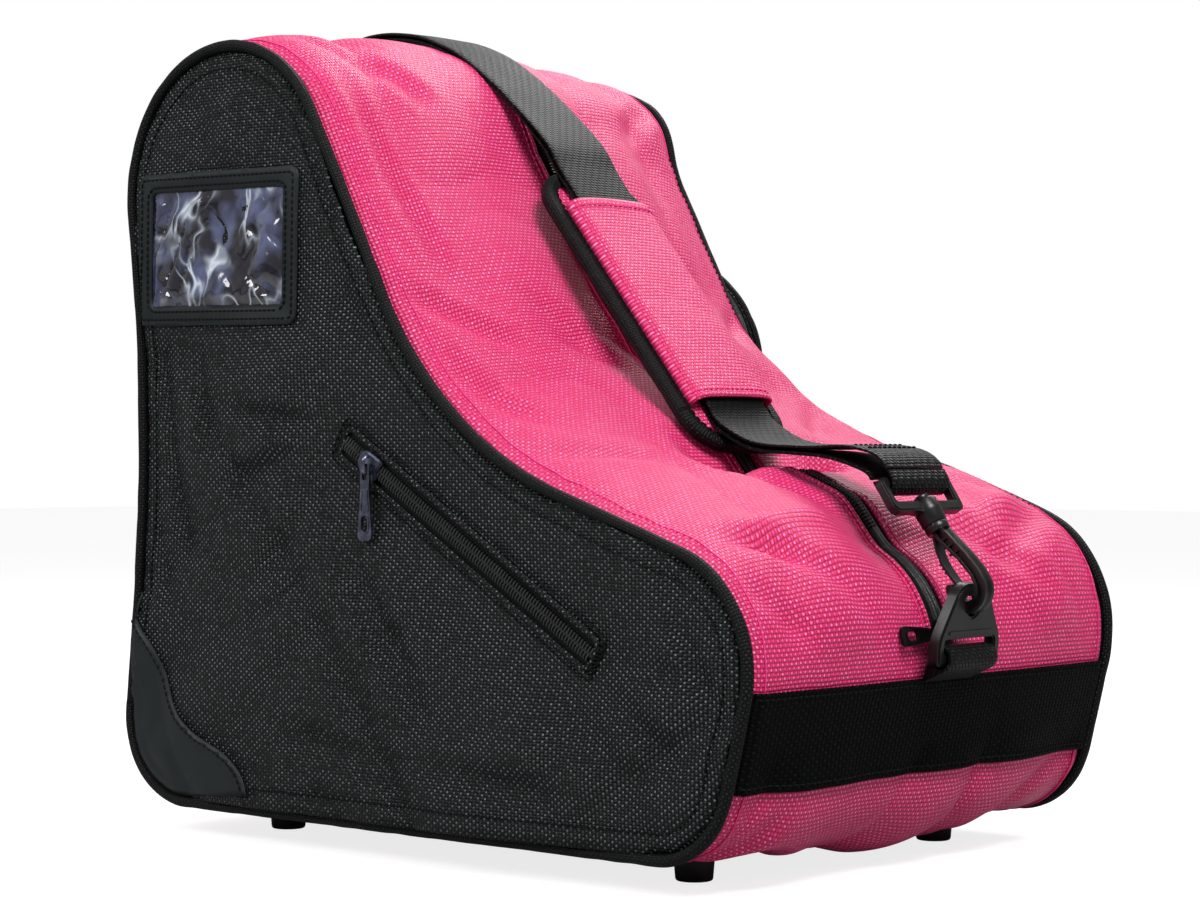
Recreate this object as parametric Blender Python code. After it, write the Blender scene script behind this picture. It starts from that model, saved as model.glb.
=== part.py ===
"""A boot-shaped skate bag: side panels, a gusset all round them, zips, pockets, feet and a clip-on strap.

Lengths are metres. X runs from heel to toe, Y from the near side panel to the far one, and Z is up.
Every object hangs from one empty, which puts the middle of the whole bag's box on the origin.
"""

from math import asin, atan2, cos, hypot, pi, radians, sin

import bmesh
import bpy
from mathutils import Vector

# ---------------------------------------------------------------- driving dimensions
BAG_SHIFT = (0.0, -0.01405, 0.0)  # puts the middle of the box on the origin

SEAM_Y = 0.1210  # the middle of each side seam's piping
PIPING_RADIUS = 0.0025
CLOTH = 0.0025  # panel and gusset thickness, with their foam
GAP = 0.0003  # between pieces that touch

# The bag's side outline is a belt round these circles. A minus radius is a circle outside the bag.
HEEL_BOTTOM = (-0.1400, 0.0505, 0.0395)
TOE_BOTTOM = (0.1340, 0.0485, 0.0375)
TOE_TOP = (0.1310, 0.0850, 0.0495)
INSTEP = (0.1361, 0.3147, -0.1700)
DOME = (-0.1130, 0.2800, 0.0655)
HEEL_WAIST = (-0.8105, 0.1720, -0.6400)
OUTLINE_CIRCLES = (HEEL_BOTTOM, TOE_BOTTOM, TOE_TOP, INSTEP, DOME, HEEL_WAIST)
ARC_STEP = radians(11)

GUSSET_INSET = 0.0015
PANEL_INSET = 0.0054
WEBBING = 0.0016
WEBBING_WIDTH = 0.0380
TAB_WIDTH = 0.0320
BAND_LOW_Z = 0.0400
BAND_HIGH_Z = 0.0785

# The main zip runs from the toe, over the top, and down the heel to this height.
ZIP_TOE_Z = 0.0900
ZIP_HEEL_Z = 0.2300
ZIP_HALF_WIDTH = 0.0072
COIL_HALF_WIDTH = 0.0030
COIL_RISE = 0.0009

# The side pocket's zip lies in a slot of the near panel.
SIDE_ZIP_TOP = (-0.0365, 0.1720)
SIDE_ZIP_END = (0.1035, 0.0885)
SIDE_SLIDER_AT = 0.0200  # from the zip's upper end

# The far pocket is an arch with straight sides.
POCKET_X = -0.0925
POCKET_ARCH_Z = 0.2045
POCKET_RADIUS = 0.0575
POCKET_BOTTOM_Z = 0.0600
POCKET_CORNER = 0.0200
POCKET_DEPTH = 0.0340

ID_CENTRE = (-0.1150, 0.2555)
ID_SIZE = (0.1050, 0.0670)
ID_WINDOW = (0.0860, 0.0500)

FOOT_X = (0.1180, -0.1180)
FOOT_Y = 0.0800
FOOT_TOP_RADIUS = 0.0085
FOOT_BOTTOM_RADIUS = 0.0072
RIVET_HOLE = [(0.0026, 0.0050), (0.0026, 0.0300)]
BOTTOM_Z = HEEL_BOTTOM[1] - HEEL_BOTTOM[2] + GUSSET_INSET

# Each clip chain starts at its triangle ring's lower bar.
RING_BAR = (0.1895, 0.0862)
RING_LEAN = radians(6.6)
RING_APEX = 0.0270  # from the lower bar to the bar the hook hangs on
FRONT_HOOK_LEAN = radians(33.5)  # from upright, towards the heel
REAR_HOOK_LEAN = radians(12)

# The strap's middle line is straight where the shoulder pad sits.
PAD_START = (0.0010, 0.2746)  # the sleeve's upper end
PAD_SLOPE = radians(50.8)
SLEEVE_LENGTH = 0.1120
PAD_ABOVE_SLEEVE = 0.0220
PAD_BELOW_SLEEVE = 0.0220
PAD_HALF_WIDTH = 0.0320
PAD_THICKNESS = 0.0060
LAYER_OFFSET = 0.00105  # from the strap's middle line to the middle of each layer
LOOP_OFFSET = 0.0042  # the same where the strap opens round the front frame's bar
STRAP_STEP = 0.0070
ADJUSTER_Z = 0.2320
REAR_RUN_X = -0.1915  # the strap's middle line where it hangs straight behind the heel


# ---------------------------------------------------------------- scene and materials
def clear_scene():
    for old in list(bpy.data.objects):
        bpy.data.objects.remove(old, do_unlink=True)


clear_scene()
BAG = bpy.data.objects.new("bag_frame", None)
BAG.location = BAG_SHIFT
bpy.context.scene.collection.objects.link(BAG)


def material(name, colour, roughness, metallic=0.0, alpha=1.0):
    made = bpy.data.materials.new(name)
    made.use_nodes = True
    shader = made.node_tree.nodes["Principled BSDF"]
    shader.inputs["Base Color"].default_value = (*colour, 1.0)
    shader.inputs["Roughness"].default_value = roughness
    shader.inputs["Metallic"].default_value = metallic
    shader.inputs["Alpha"].default_value = alpha
    made.diffuse_color = (*colour, alpha)
    return made


PINK = material("pink_fabric", (0.80, 0.03, 0.16), 0.65)
BLACK = material("black_fabric", (0.012, 0.012, 0.013), 0.60)
WEB = material("webbing", (0.010, 0.010, 0.010), 0.70)
PIPING = material("piping", (0.010, 0.010, 0.011), 0.70)
LEATHER = material("faux_leather", (0.014, 0.015, 0.016), 0.45)
VINYL = material("clear_vinyl", (0.85, 0.88, 0.95), 0.08, alpha=0.35)
PLASTIC = material("black_plastic", (0.014, 0.014, 0.015), 0.38)
ZIP = material("zip_coil", (0.008, 0.008, 0.008), 0.50)
METAL = material("gunmetal", (0.10, 0.11, 0.14), 0.32, metallic=1.0)
STEEL = material("rivet_steel", (0.50, 0.50, 0.52), 0.35, metallic=1.0)
BOARD = material("base_board", (0.03, 0.03, 0.03), 0.55)
LINING = material("lining", (0.02, 0.02, 0.02), 0.80)


# ---------------------------------------------------------------- mesh helpers
def skin(name, loops, finish, ring=False, pivot=(0.0, 0.0, 0.0), hidden=False):
    """A closed body through loops of equal length, capped at both ends or, as a ring, joined up."""
    count = len(loops[0])
    pivot = Vector(pivot)
    points = [Vector(p) - pivot for loop in loops for p in loop]
    faces = []
    spans = len(loops) if ring else len(loops) - 1
    for i in range(spans):
        a = i * count
        b = (i + 1) % len(loops) * count
        for k in range(count):
            n = (k + 1) % count
            faces.append((a + k, a + n, b + n, b + k))
    if not ring:
        faces.append(tuple(range(count)))
        faces.append(tuple(range((len(loops) - 1) * count, len(loops) * count)))
    mesh = bpy.data.meshes.new(name)
    mesh.from_pydata(points, [], faces)
    work = bmesh.new()
    work.from_mesh(mesh)
    bmesh.ops.recalc_face_normals(work, faces=work.faces)
    work.to_mesh(mesh)
    work.free()
    mesh.shade_smooth()
    mesh.set_sharp_from_angle(angle=radians(35))
    mesh.materials.append(finish)
    made = bpy.data.objects.new(name, mesh)
    made.location = pivot
    made.parent = BAG
    bpy.context.scene.collection.objects.link(made)
    if hidden:
        made.hide_render = True
        made.display_type = "WIRE"
    return made


def prism(name, outline, place, low, high, finish, **kept):
    """An outline of (u, v) points, extruded from depth low to high. place(u, v, depth) gives the point."""
    loops = [[place(u, v, depth) for u, v in outline] for depth in (low, high)]
    return skin(name, loops, finish, **kept)


def frame_prism(name, outer, inner, place, low, high, finish, **kept):
    """A prism with one hole, from two outlines of equal length."""
    pairs = ((outer, low), (outer, high), (inner, high), (inner, low))
    loops = [[place(u, v, depth) for u, v in line] for line, depth in pairs]
    return skin(name, loops, finish, ring=True, **kept)


def turned(name, profile, place, finish, sides=16, **kept):
    """A solid of revolution: (radius, height) pairs, with place(u, v, height) giving the point."""
    turn = [2 * pi * k / sides for k in range(sides)]
    loops = [[place(r * cos(a), r * sin(a), h) for a in turn] for r, h in profile]
    return skin(name, loops, finish, **kept)


def boolean(target, tool, operation):
    step = target.modifiers.new(tool.name, "BOOLEAN")
    step.operation = operation
    step.object = tool
    step.solver = "EXACT"


def side_on(u, v, y):
    """Places an outline drawn in the bag's side view."""
    return (u, y, v)


def flat_on(u, v, z):
    """Places an outline drawn in the bag's plan view."""
    return (u, v, z)


def arc(centre, radius, start, end, steps):
    """Points along an arc, both ends included, with the angles in radians."""
    angles = [start + (end - start) * k / steps for k in range(steps + 1)]
    return [(centre[0] + radius * cos(a), centre[1] + radius * sin(a)) for a in angles]


def rounded_box(centre, size, radius, steps=3):
    half_u = size[0] / 2 - radius
    half_v = size[1] / 2 - radius
    corners = ((1, -1, -90), (1, 1, 0), (-1, 1, 90), (-1, -1, 180))
    outline = []
    for side_u, side_v, start in corners:
        middle = (centre[0] + side_u * half_u, centre[1] + side_v * half_v)
        outline += arc(middle, radius, radians(start), radians(start + 90), steps)
    return outline


# ---------------------------------------------------------------- the side outline
def belt_headings():
    """For each circle, the heading of the belt as it comes onto the circle and as it leaves it."""
    leaving = []
    for (ax, az, ar), (bx, bz, br) in zip(OUTLINE_CIRCLES, OUTLINE_CIRCLES[1:] + OUTLINE_CIRCLES[:1]):
        straight = atan2(bz - az, bx - ax)
        leaving.append(straight + asin((ar - br) / hypot(bx - ax, bz - az)))
    headings = []
    for k, (_, _, radius) in enumerate(OUTLINE_CIRCLES):
        start = leaving[k - 1]
        if radius > 0:
            end = start + (leaving[k] - start) % (2 * pi)
        else:
            end = start - (start - leaving[k]) % (2 * pi)
        headings.append((start, end))
    return headings


def outline(inset):
    """The bag's side outline as (x, z) points, moved inwards. Every inset gives as many points."""
    points = []
    for (x, z, radius), (start, end) in zip(OUTLINE_CIRCLES, belt_headings()):
        steps = max(2, round(abs(end - start) / ARC_STEP))
        for k in range(steps + 1):
            heading = start + (end - start) * k / steps
            reach = radius - inset
            points.append((x + reach * sin(heading), z - reach * cos(heading)))
    return points


def outline_at(place, inset):
    """The point at a fractional index along the outline."""
    points = outline(inset)
    whole = int(place)
    share = place - whole
    ax, az = points[whole % len(points)]
    bx, bz = points[(whole + 1) % len(points)]
    return (ax + (bx - ax) * share, az + (bz - az) * share)


def index_at_height(z, end):
    """The fractional index where the outline crosses height z, at its toe end (1) or its heel end (-1)."""
    points = outline(0.0)
    for k in range(len(points)):
        (ax, az), (bx, bz) = points[k], points[(k + 1) % len(points)]
        if (az - z) * (bz - z) <= 0 and az != bz and ax * end > 0.1:
            return k + (z - az) / (bz - az)
    raise ValueError("the outline doesn't reach that height")


def index_on_bottom(x):
    """The fractional index at x along the outline's straight bottom."""
    points = outline(0.0)
    for k in range(len(points)):
        ax, bx = points[k][0], points[(k + 1) % len(points)][0]
        if ax <= x < bx and points[k][1] < BOTTOM_Z:
            return k + (x - ax) / (bx - ax)
    raise ValueError("the bottom doesn't reach that far")


def indices(start, end):
    """Every index from start round to end, with the whole ones between them."""
    if end < start:
        end += len(outline(0.0))
    between = [k for k in range(int(start) + 1, int(end) + 1) if k - start > 0.02 and end - k > 0.02]
    return [start, *between, end]


def wall(name, section, start, end, finish):
    """A strip along the outline. Its section is (y, inset) points."""
    loops = []
    for k in indices(start, end):
        flat = [(outline_at(k, inset), y) for y, inset in section]
        loops.append([(x, y, z) for (x, z), y in flat])
    return skin(name, loops, finish)


def strip_section(y_low, y_high, outer_inset, inner_inset):
    return [(y_low, outer_inset), (y_high, outer_inset), (y_high, inner_inset), (y_low, inner_inset)]


# ---------------------------------------------------------------- side panels, gusset and piping
GUSSET_HALF = SEAM_Y - PIPING_RADIUS - GAP
ZIP_TOE = index_at_height(ZIP_TOE_Z, 1)
ZIP_HEEL = index_at_height(ZIP_HEEL_Z, -1)
END_GAP = 0.03  # in outline indices


def zip_axes(start, end):
    """A zip's direction and its cross direction in the side view, and its length."""
    length = hypot(end[0] - start[0], end[1] - start[1])
    along = ((end[0] - start[0]) / length, (end[1] - start[1]) / length)
    return along, (-along[1], along[0]), length


SIDE_ALONG, SIDE_ACROSS, SIDE_LENGTH = zip_axes(SIDE_ZIP_TOP, SIDE_ZIP_END)


def on_side_zip(u, v, y):
    """Places an outline drawn along the side zip, with u from its upper end and v across it."""
    x = SIDE_ZIP_TOP[0] + SIDE_ALONG[0] * u + SIDE_ACROSS[0] * v
    z = SIDE_ZIP_TOP[1] + SIDE_ALONG[1] * u + SIDE_ACROSS[1] * v
    return (x, y, z)


PANEL_OUT = SEAM_Y + 0.0015
PANEL_IN = PANEL_OUT - CLOTH


def side_panels():
    near = prism("side_panel_near", outline(PANEL_INSET), side_on, -PANEL_OUT, -PANEL_IN, BLACK)
    half = ZIP_HALF_WIDTH
    slot = [(0.0, -half), (SIDE_LENGTH, -half), (SIDE_LENGTH, half), (0.0, half)]
    low, high = -PANEL_OUT - CLOTH, -PANEL_IN + CLOTH
    cutter = prism("side_zip_slot", slot, on_side_zip, low, high, BLACK, hidden=True)
    boolean(near, cutter, "DIFFERENCE")
    prism("side_panel_far", outline(PANEL_INSET), side_on, PANEL_IN, PANEL_OUT, BLACK)


def side_piping(name, y):
    middle = outline(PIPING_RADIUS)
    inner = outline(2 * PIPING_RADIUS)
    loops = []
    for (x, z), (ix, iz) in zip(middle, inner):
        out_x = (x - ix) / PIPING_RADIUS
        out_z = (z - iz) / PIPING_RADIUS
        turn = [2 * pi * (k + 0.5) / 6 for k in range(6)]
        reach = [(PIPING_RADIUS * cos(a), PIPING_RADIUS * sin(a)) for a in turn]
        loops.append([(x + out_x * r, y + side, z + out_z * r) for r, side in reach])
    skin(name, loops, PIPING, ring=True)


def gusset():
    inner = GUSSET_INSET + CLOTH
    near = strip_section(-GUSSET_HALF, -ZIP_HALF_WIDTH - GAP, GUSSET_INSET, inner)
    far = strip_section(ZIP_HALF_WIDTH + GAP, GUSSET_HALF, GUSSET_INSET, inner)
    wall("gusset_upper_near", near, ZIP_TOE, ZIP_HEEL, PINK)
    wall("gusset_upper_far", far, ZIP_TOE, ZIP_HEEL, PINK)
    whole = strip_section(-GUSSET_HALF, GUSSET_HALF, GUSSET_INSET, inner)
    bottom = wall("gusset_bottom", whole, ZIP_HEEL + END_GAP, ZIP_TOE - END_GAP, PINK)
    for number, (x, y) in enumerate(foot_places()):
        tool = f"gusset_hole_{number}"
        hole = turned(tool, RIVET_HOLE, upright(x, y), PINK, hidden=True)
        boolean(bottom, hole, "DIFFERENCE")


def bands():
    """Webbing sewn across the toe and the heel from seam to seam."""
    section = strip_section(-GUSSET_HALF, GUSSET_HALF, GUSSET_INSET - GAP - WEBBING, GUSSET_INSET - GAP)
    toe = (index_at_height(BAND_LOW_Z, 1), index_at_height(BAND_HIGH_Z, 1))
    heel = (index_at_height(BAND_HIGH_Z, -1), index_at_height(BAND_LOW_Z, -1))
    wall("toe_band", section, *toe, WEB)
    wall("heel_band", section, *heel, WEB)


# ---------------------------------------------------------------- zips
def tape_section(y_edge, y_middle, base):
    """A zip tape with half of the coil standing up along its inner edge. base is the tape's outer inset."""
    towards = 1 if y_middle > y_edge else -1
    foot = y_middle - towards * COIL_HALF_WIDTH
    thick = 0.0012
    return [
        (y_edge, base),
        (foot, base),
        (foot, base - COIL_RISE),
        (y_middle, base - COIL_RISE),
        (y_middle, base + thick),
        (y_edge, base + thick),
    ]


def main_zip_tapes():
    base = GUSSET_INSET + 0.0004
    near = tape_section(-ZIP_HALF_WIDTH, -GAP / 2, base)
    far = tape_section(ZIP_HALF_WIDTH, GAP / 2, base)
    wall("main_zip_tape_near", near, ZIP_TOE, ZIP_HEEL, ZIP)
    wall("main_zip_tape_far", far, ZIP_TOE, ZIP_HEEL, ZIP)


def side_zip_tape(name, side):
    """One tape of the side zip, in the panel's slot. side is 1 for the upper tape and -1 for the lower."""
    edge = side * (ZIP_HALF_WIDTH - GAP)
    middle = side * GAP / 2
    foot = middle + side * COIL_HALF_WIDTH
    out = -PANEL_OUT + 0.0004
    section = [
        (edge, out),
        (foot, out),
        (foot, out - COIL_RISE),
        (middle, out - COIL_RISE),
        (middle, out + 0.0012),
        (edge, out + 0.0012),
    ]
    loops = [[on_side_zip(u, v, y) for v, y in section] for u in (GAP, SIDE_LENGTH - GAP)]
    skin(name, loops, ZIP)


BAIL_BAR = 0.0034  # height of the pull's bar, inside the bail, over the coil


def slider_body(name, place, bail_turn, pivot):
    """A zip slider. place(u, v, height) has u along the track; the bail is turned from it by bail_turn."""
    plate = [(-0.0065, -0.0035), (-0.0045, -0.0050), (0.0045, -0.0050), (0.0065, -0.0040)]
    plate += [(0.0065, 0.0040), (0.0045, 0.0050), (-0.0045, 0.0050), (-0.0065, 0.0035)]
    body = prism(name, plate, place, GAP, 0.0020, METAL, pivot=pivot)

    def upright_bail(along, height, across):
        u = along * cos(bail_turn) - across * sin(bail_turn)
        v = along * sin(bail_turn) + across * cos(bail_turn)
        return place(u, v, height)

    outer = [(-0.0042, 0.0015), (0.0042, 0.0015), (0.0042, 0.0036), (0.0026, 0.0054)]
    outer += [(-0.0026, 0.0054), (-0.0042, 0.0036)]
    inner = [(-0.0028, 0.0022), (0.0028, 0.0022), (0.0028, 0.0034), (0.0018, 0.0046)]
    inner += [(-0.0018, 0.0046), (-0.0028, 0.0034)]
    bail = frame_prism(name + "_bail", outer, inner, upright_bail, -0.0011, 0.0011, METAL, hidden=True)
    boolean(body, bail, "UNION")
    return body


def pull_tab(name, place, pivot, length=0.0310):
    """A tapered zip pull. place(u, v, height) has u along the pull, from the bar under the bail."""
    low = BAIL_BAR - 0.0006
    high = BAIL_BAR + 0.0006
    outer = [(-0.0006, -0.0026), (0.0070, -0.0030), (length - 0.005, -0.0043), (length, -0.0024)]
    outer += [(length, 0.0024), (length - 0.005, 0.0043), (0.0070, 0.0030), (-0.0006, 0.0026)]
    tab = prism(name, outer, place, low, high, METAL, pivot=pivot)
    eye = [(0.0006, -0.0016), (0.0064, -0.0016), (0.0064, 0.0016), (0.0006, 0.0016)]
    tip = rounded_box((length - 0.0055, 0.0), (0.0050, 0.0030), 0.0014, steps=2)
    for tag, hole in (("eye", eye), ("tip", tip)):
        cutter = prism(f"{name}_{tag}", hole, place, low - 0.001, high + 0.001, METAL, hidden=True)
        boolean(tab, cutter, "DIFFERENCE")


def surface_frame(origin, along, normal):
    """place(u, v, height) on a flat patch: u along the first axis, v across it, height off the patch."""
    along = Vector(along).normalized()
    normal = Vector(normal).normalized()
    across = normal.cross(along)
    origin = Vector(origin)
    return lambda u, v, height: origin + along * u + across * v + normal * height


def zip_set(prefix, origin, track, normal, pull_direction, slider_pivot):
    """A slider and the pull on its bail, standing on the zip's coil at origin."""
    on_track = surface_frame(origin, track, normal)
    along_pull = surface_frame(origin, pull_direction, normal)
    normal = Vector(normal).normalized()
    track = Vector(track).normalized()
    pull = Vector(pull_direction).normalized()
    turn = atan2(pull.dot(normal.cross(track)), pull.dot(track))
    slider_body(prefix + "_slider", on_track, turn, slider_pivot)
    bar = Vector(origin) + normal * BAIL_BAR
    pull_tab(prefix + "_pull", along_pull, bar)


def main_slider():
    """The main zip is closed, with its slider at the toe end of the track, on the round of the toe."""
    turn = radians(11.5)
    reach = TOE_TOP[2] - GUSSET_INSET - 0.0004 + COIL_RISE
    origin = (TOE_TOP[0] + reach * cos(turn), 0.0, TOE_TOP[1] + reach * sin(turn))
    track = (-sin(turn), 0.0, cos(turn))
    normal = (cos(turn), 0.0, sin(turn))
    zip_set("main_zip", origin, track, normal, (0.0, -1.0, 0.0), (TOE_TOP[0], 0.0, TOE_TOP[1]))


def side_slider():
    x, _, z = on_side_zip(SIDE_SLIDER_AT, 0.0, 0.0)
    origin = (x, -PANEL_OUT + 0.0004 - COIL_RISE, z)
    track = (SIDE_ALONG[0], 0.0, SIDE_ALONG[1])
    zip_set("side_zip", origin, track, (0.0, -1.0, 0.0), (0.0, 0.0, -1.0), origin)


# ---------------------------------------------------------------- side pocket, window and patches
def side_pouch():
    """The side pocket's cloth bag, open towards the panel, whose zip is its way in."""
    back, front = -PANEL_IN + 0.0130, -PANEL_IN + GAP
    outer = [(-0.0450, 0.1740), (0.0300, 0.1450), (0.1120, 0.0960)]
    outer += [(0.1250, 0.0600), (0.1100, 0.0300), (-0.0450, 0.0300)]
    middle = (sum(p[0] for p in outer) / len(outer), sum(p[1] for p in outer) / len(outer))
    inner = [(middle[0] + (x - middle[0]) * 0.96, middle[1] + (z - middle[1]) * 0.96) for x, z in outer]
    stations = ((inner, back - 0.0015), (inner, front), (outer, front), (outer, back))
    skin("side_pocket_pouch", [[(x, y, z) for x, z in line] for line, y in stations], LINING)


def id_window():
    out = -PANEL_OUT - GAP
    outer = rounded_box(ID_CENTRE, ID_SIZE, 0.0040)
    inner = rounded_box(ID_CENTRE, ID_WINDOW, 0.0010)
    frame_prism("id_window_frame", outer, inner, side_on, out - 0.0013, out, LEATHER)
    pane = rounded_box(ID_CENTRE, (ID_WINDOW[0] - 2 * GAP, ID_WINDOW[1] - 2 * GAP), 0.0010, steps=1)
    prism("id_window_pane", pane, side_on, out - 0.0008, out - 0.0002, VINYL)


def corner_patch(name, y_low, y_high):
    """A faux leather patch on the heel's lower corner. Its free edge is a long S."""
    start = index_at_height(0.0960, -1)
    end = index_on_bottom(-0.0876)
    corner = [outline_at(k, PANEL_INSET + 0.0006) for k in indices(start, end)]
    edge = [(-0.0980, 0.0310), (-0.1180, 0.0420), (-0.1390, 0.0520), (-0.1480, 0.0670), (-0.1560, 0.0830)]
    prism(name, corner + edge, side_on, y_low, y_high, LEATHER)


def patches():
    out = PANEL_OUT + GAP
    corner_patch("corner_patch_near", -out - 0.0012, -out)
    corner_patch("corner_patch_far", out, out + 0.0012)


# ---------------------------------------------------------------- far pocket
def pocket_outline(inset):
    """The far pocket's arch, straight sides and lower corners, moved inwards, with the arch first."""
    radius = POCKET_RADIUS - inset
    corner = POCKET_CORNER - inset
    points = arc((POCKET_X, POCKET_ARCH_Z), radius, 0.0, pi, 16)
    for side, start in ((-1, pi), (1, 3 * pi / 2)):
        middle = (POCKET_X + side * (POCKET_RADIUS - POCKET_CORNER), POCKET_BOTTOM_Z + POCKET_CORNER)
        points += arc(middle, corner, start, start + pi / 2, 3)
    return points


POCKET_ZIP_Y = 0.1420
POCKET_TAPE = 0.0060


def pocket_strip(name, section, arch, finish):
    """A strip of the pocket's wall: only over the arch, or only round the sides and the bottom."""
    arch_points = 17
    lines = {inset: pocket_outline(inset) for _, inset in section}
    total = len(pocket_outline(0.0))
    if arch:
        steps = range(arch_points)
    else:
        steps = [*range(arch_points - 1, total), 0]
    loops = [[(lines[inset][k][0], y, lines[inset][k][1]) for y, inset in section] for k in steps]
    if not arch:
        loops[0] = [(x, y, z - GAP) for x, y, z in loops[0]]
        loops[-1] = [(x, y, z - GAP) for x, y, z in loops[-1]]
    skin(name, loops, finish)


def far_pocket():
    first = PANEL_OUT + GAP
    last = PANEL_OUT + POCKET_DEPTH
    zip_low = POCKET_ZIP_Y - POCKET_TAPE
    zip_high = POCKET_ZIP_Y + POCKET_TAPE
    outer, inner = pocket_outline(0.0), pocket_outline(CLOTH)
    frame_prism("far_pocket_wall", outer, inner, side_on, first, zip_low - GAP, BLACK)
    gusset_section = strip_section(zip_low, zip_high, 0.0, CLOTH)
    pocket_strip("far_pocket_gusset", gusset_section, False, BLACK)
    base = 0.0004
    pocket_strip("far_zip_tape_inner", tape_section(zip_low, POCKET_ZIP_Y - GAP / 2, base), True, ZIP)
    pocket_strip("far_zip_tape_outer", tape_section(zip_high, POCKET_ZIP_Y + GAP / 2, base), True, ZIP)
    crown = pocket_outline(0.0080)
    crown_inner = pocket_outline(0.0080 + CLOTH)
    stations = (
        (crown_inner, last - CLOTH),
        (inner, zip_high + GAP),
        (outer, zip_high + GAP),
        (outer, last - 0.0060),
        (crown, last),
    )
    skin("far_pocket_front", [[(x, y, z) for x, z in line] for line, y in stations], BLACK)


def far_slider():
    """The far pocket is closed, with its slider at the heel end of the arch."""
    turn = radians(172)
    reach = POCKET_RADIUS - 0.0004 + COIL_RISE
    origin = (POCKET_X + reach * cos(turn), POCKET_ZIP_Y, POCKET_ARCH_Z + reach * sin(turn))
    track = (-sin(turn), 0.0, cos(turn))
    normal = (cos(turn), 0.0, sin(turn))
    pivot = (POCKET_X, POCKET_ZIP_Y, POCKET_ARCH_Z)
    zip_set("far_zip", origin, track, normal, track, pivot)


# ---------------------------------------------------------------- base board and feet
def foot_places():
    return [(x, y) for x in FOOT_X for y in (-FOOT_Y, FOOT_Y)]


def upright(x, y):
    return lambda u, v, height: (x + u, y + v, height)


def base_and_feet():
    board_low = BOTTOM_Z + CLOTH + GAP
    board_high = board_low + 0.0025
    middle = (HEEL_BOTTOM[0] + TOE_BOTTOM[0]) / 2
    plan = rounded_box((middle, 0.0), (TOE_BOTTOM[0] - HEEL_BOTTOM[0], 0.2100), 0.0200)
    board = prism("base_board", plan, flat_on, board_low, board_high, BOARD)
    names = ("front_near", "front_far", "rear_near", "rear_far")
    for name, (x, y) in zip(names, foot_places()):
        place = upright(x, y)
        hole = turned(f"board_hole_{name}", RIVET_HOLE, place, BOARD, hidden=True)
        boolean(board, hole, "DIFFERENCE")
        top = BOTTOM_Z - GAP
        foot = [(0.0026, 0.0050), (0.0026, top), (FOOT_TOP_RADIUS, top), (FOOT_BOTTOM_RADIUS, 0.0006)]
        foot.append((FOOT_BOTTOM_RADIUS - 0.0006, 0.0))
        turned("foot_" + name, foot, place, PLASTIC)
        head = board_high + GAP
        rivet = [(0.0021, 0.0054), (0.0021, head), (0.0045, head), (0.0038, head + 0.0014)]
        turned("foot_rivet_" + name, rivet, place, STEEL, sides=12)


# ---------------------------------------------------------------- clip chains
def chain_frame(origin, lean, side):
    """place(y, v, w): v runs up the chain from origin, leaning over by lean; w points away from the bag."""
    up = Vector((-side * sin(lean), 0.0, cos(lean)))
    out = Vector((side * cos(lean), 0.0, sin(lean)))
    start = Vector((origin[0], 0.0, origin[1]))
    return lambda y, v, w: start + up * v + out * w + Vector((0.0, y, 0.0))


def across_chain(chain):
    """Places an outline drawn in the chain's side view, and extruded along Y."""
    return lambda w, v, y: chain(y, v, w)


def along_chain(chain):
    """Places a solid of revolution whose axis runs up the chain."""
    return lambda u, v, height: chain(u, height, v)


def tab(name, side):
    """A short webbing loop, sewn at the band's upper edge, that holds the triangle ring's lower bar."""
    hole = 0.0040
    reach = hole + WEBBING
    steps = 16
    outer, inner = [], []
    for k in range(steps):
        a = 2 * pi * k / steps
        towards_bag = cos(a) < -0.2 and sin(a) < 0.1
        far = 0.0083 if towards_bag else reach
        drop = max(far * sin(a), -reach)
        outer.append((side * (RING_BAR[0] + far * cos(a)), RING_BAR[1] + drop))
        inner.append((side * (RING_BAR[0] + hole * cos(a)), RING_BAR[1] + hole * sin(a)))
    half = TAB_WIDTH / 2
    frame_prism(name, outer, inner, side_on, -half, half, WEB)


def triangle_ring(name, side):
    bar = (side * RING_BAR[0], RING_BAR[1])
    chain = chain_frame(bar, -RING_LEAN, side)
    half_thick = 0.0024
    right = [(0.0210, -0.0010), (0.0210, 0.0070), (0.0100, 0.0270), (0.0050, 0.0295)]
    outer = [(0.0195, -0.0024), *right, *[(-y, v) for y, v in reversed(right)], (-0.0195, -0.0024)]
    pivot = (bar[0], 0.0, bar[1])
    ring = prism(name, outer, chain, -half_thick, half_thick, PLASTIC, pivot=pivot)
    slot = rounded_box((0.0, 0.0052), (0.0334, 0.0056), 0.0008, steps=1)
    window = [(-0.0050, 0.0166), (0.0050, 0.0166), (0.0058, 0.0210), (0.0046, 0.0246)]
    window += [(-0.0046, 0.0246), (-0.0058, 0.0210)]
    for tag, hole in (("slot", slot), ("window", window)):
        cutter = prism(f"{name}_{tag}", hole, chain, -0.01, 0.01, PLASTIC, hidden=True)
        boolean(ring, cutter, "DIFFERENCE")


def ring_apex(side):
    return (side * (RING_BAR[0] + RING_APEX * sin(RING_LEAN)), RING_BAR[1] + RING_APEX * cos(RING_LEAN))


EYE_IN = 0.0044
EYE_OUT = 0.0094
NECK_V = 0.0302
HEAD_V = 0.0415
GATE_ROOT = (-0.0026, 0.0250)  # (w, v) of the gate's pivot


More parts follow.
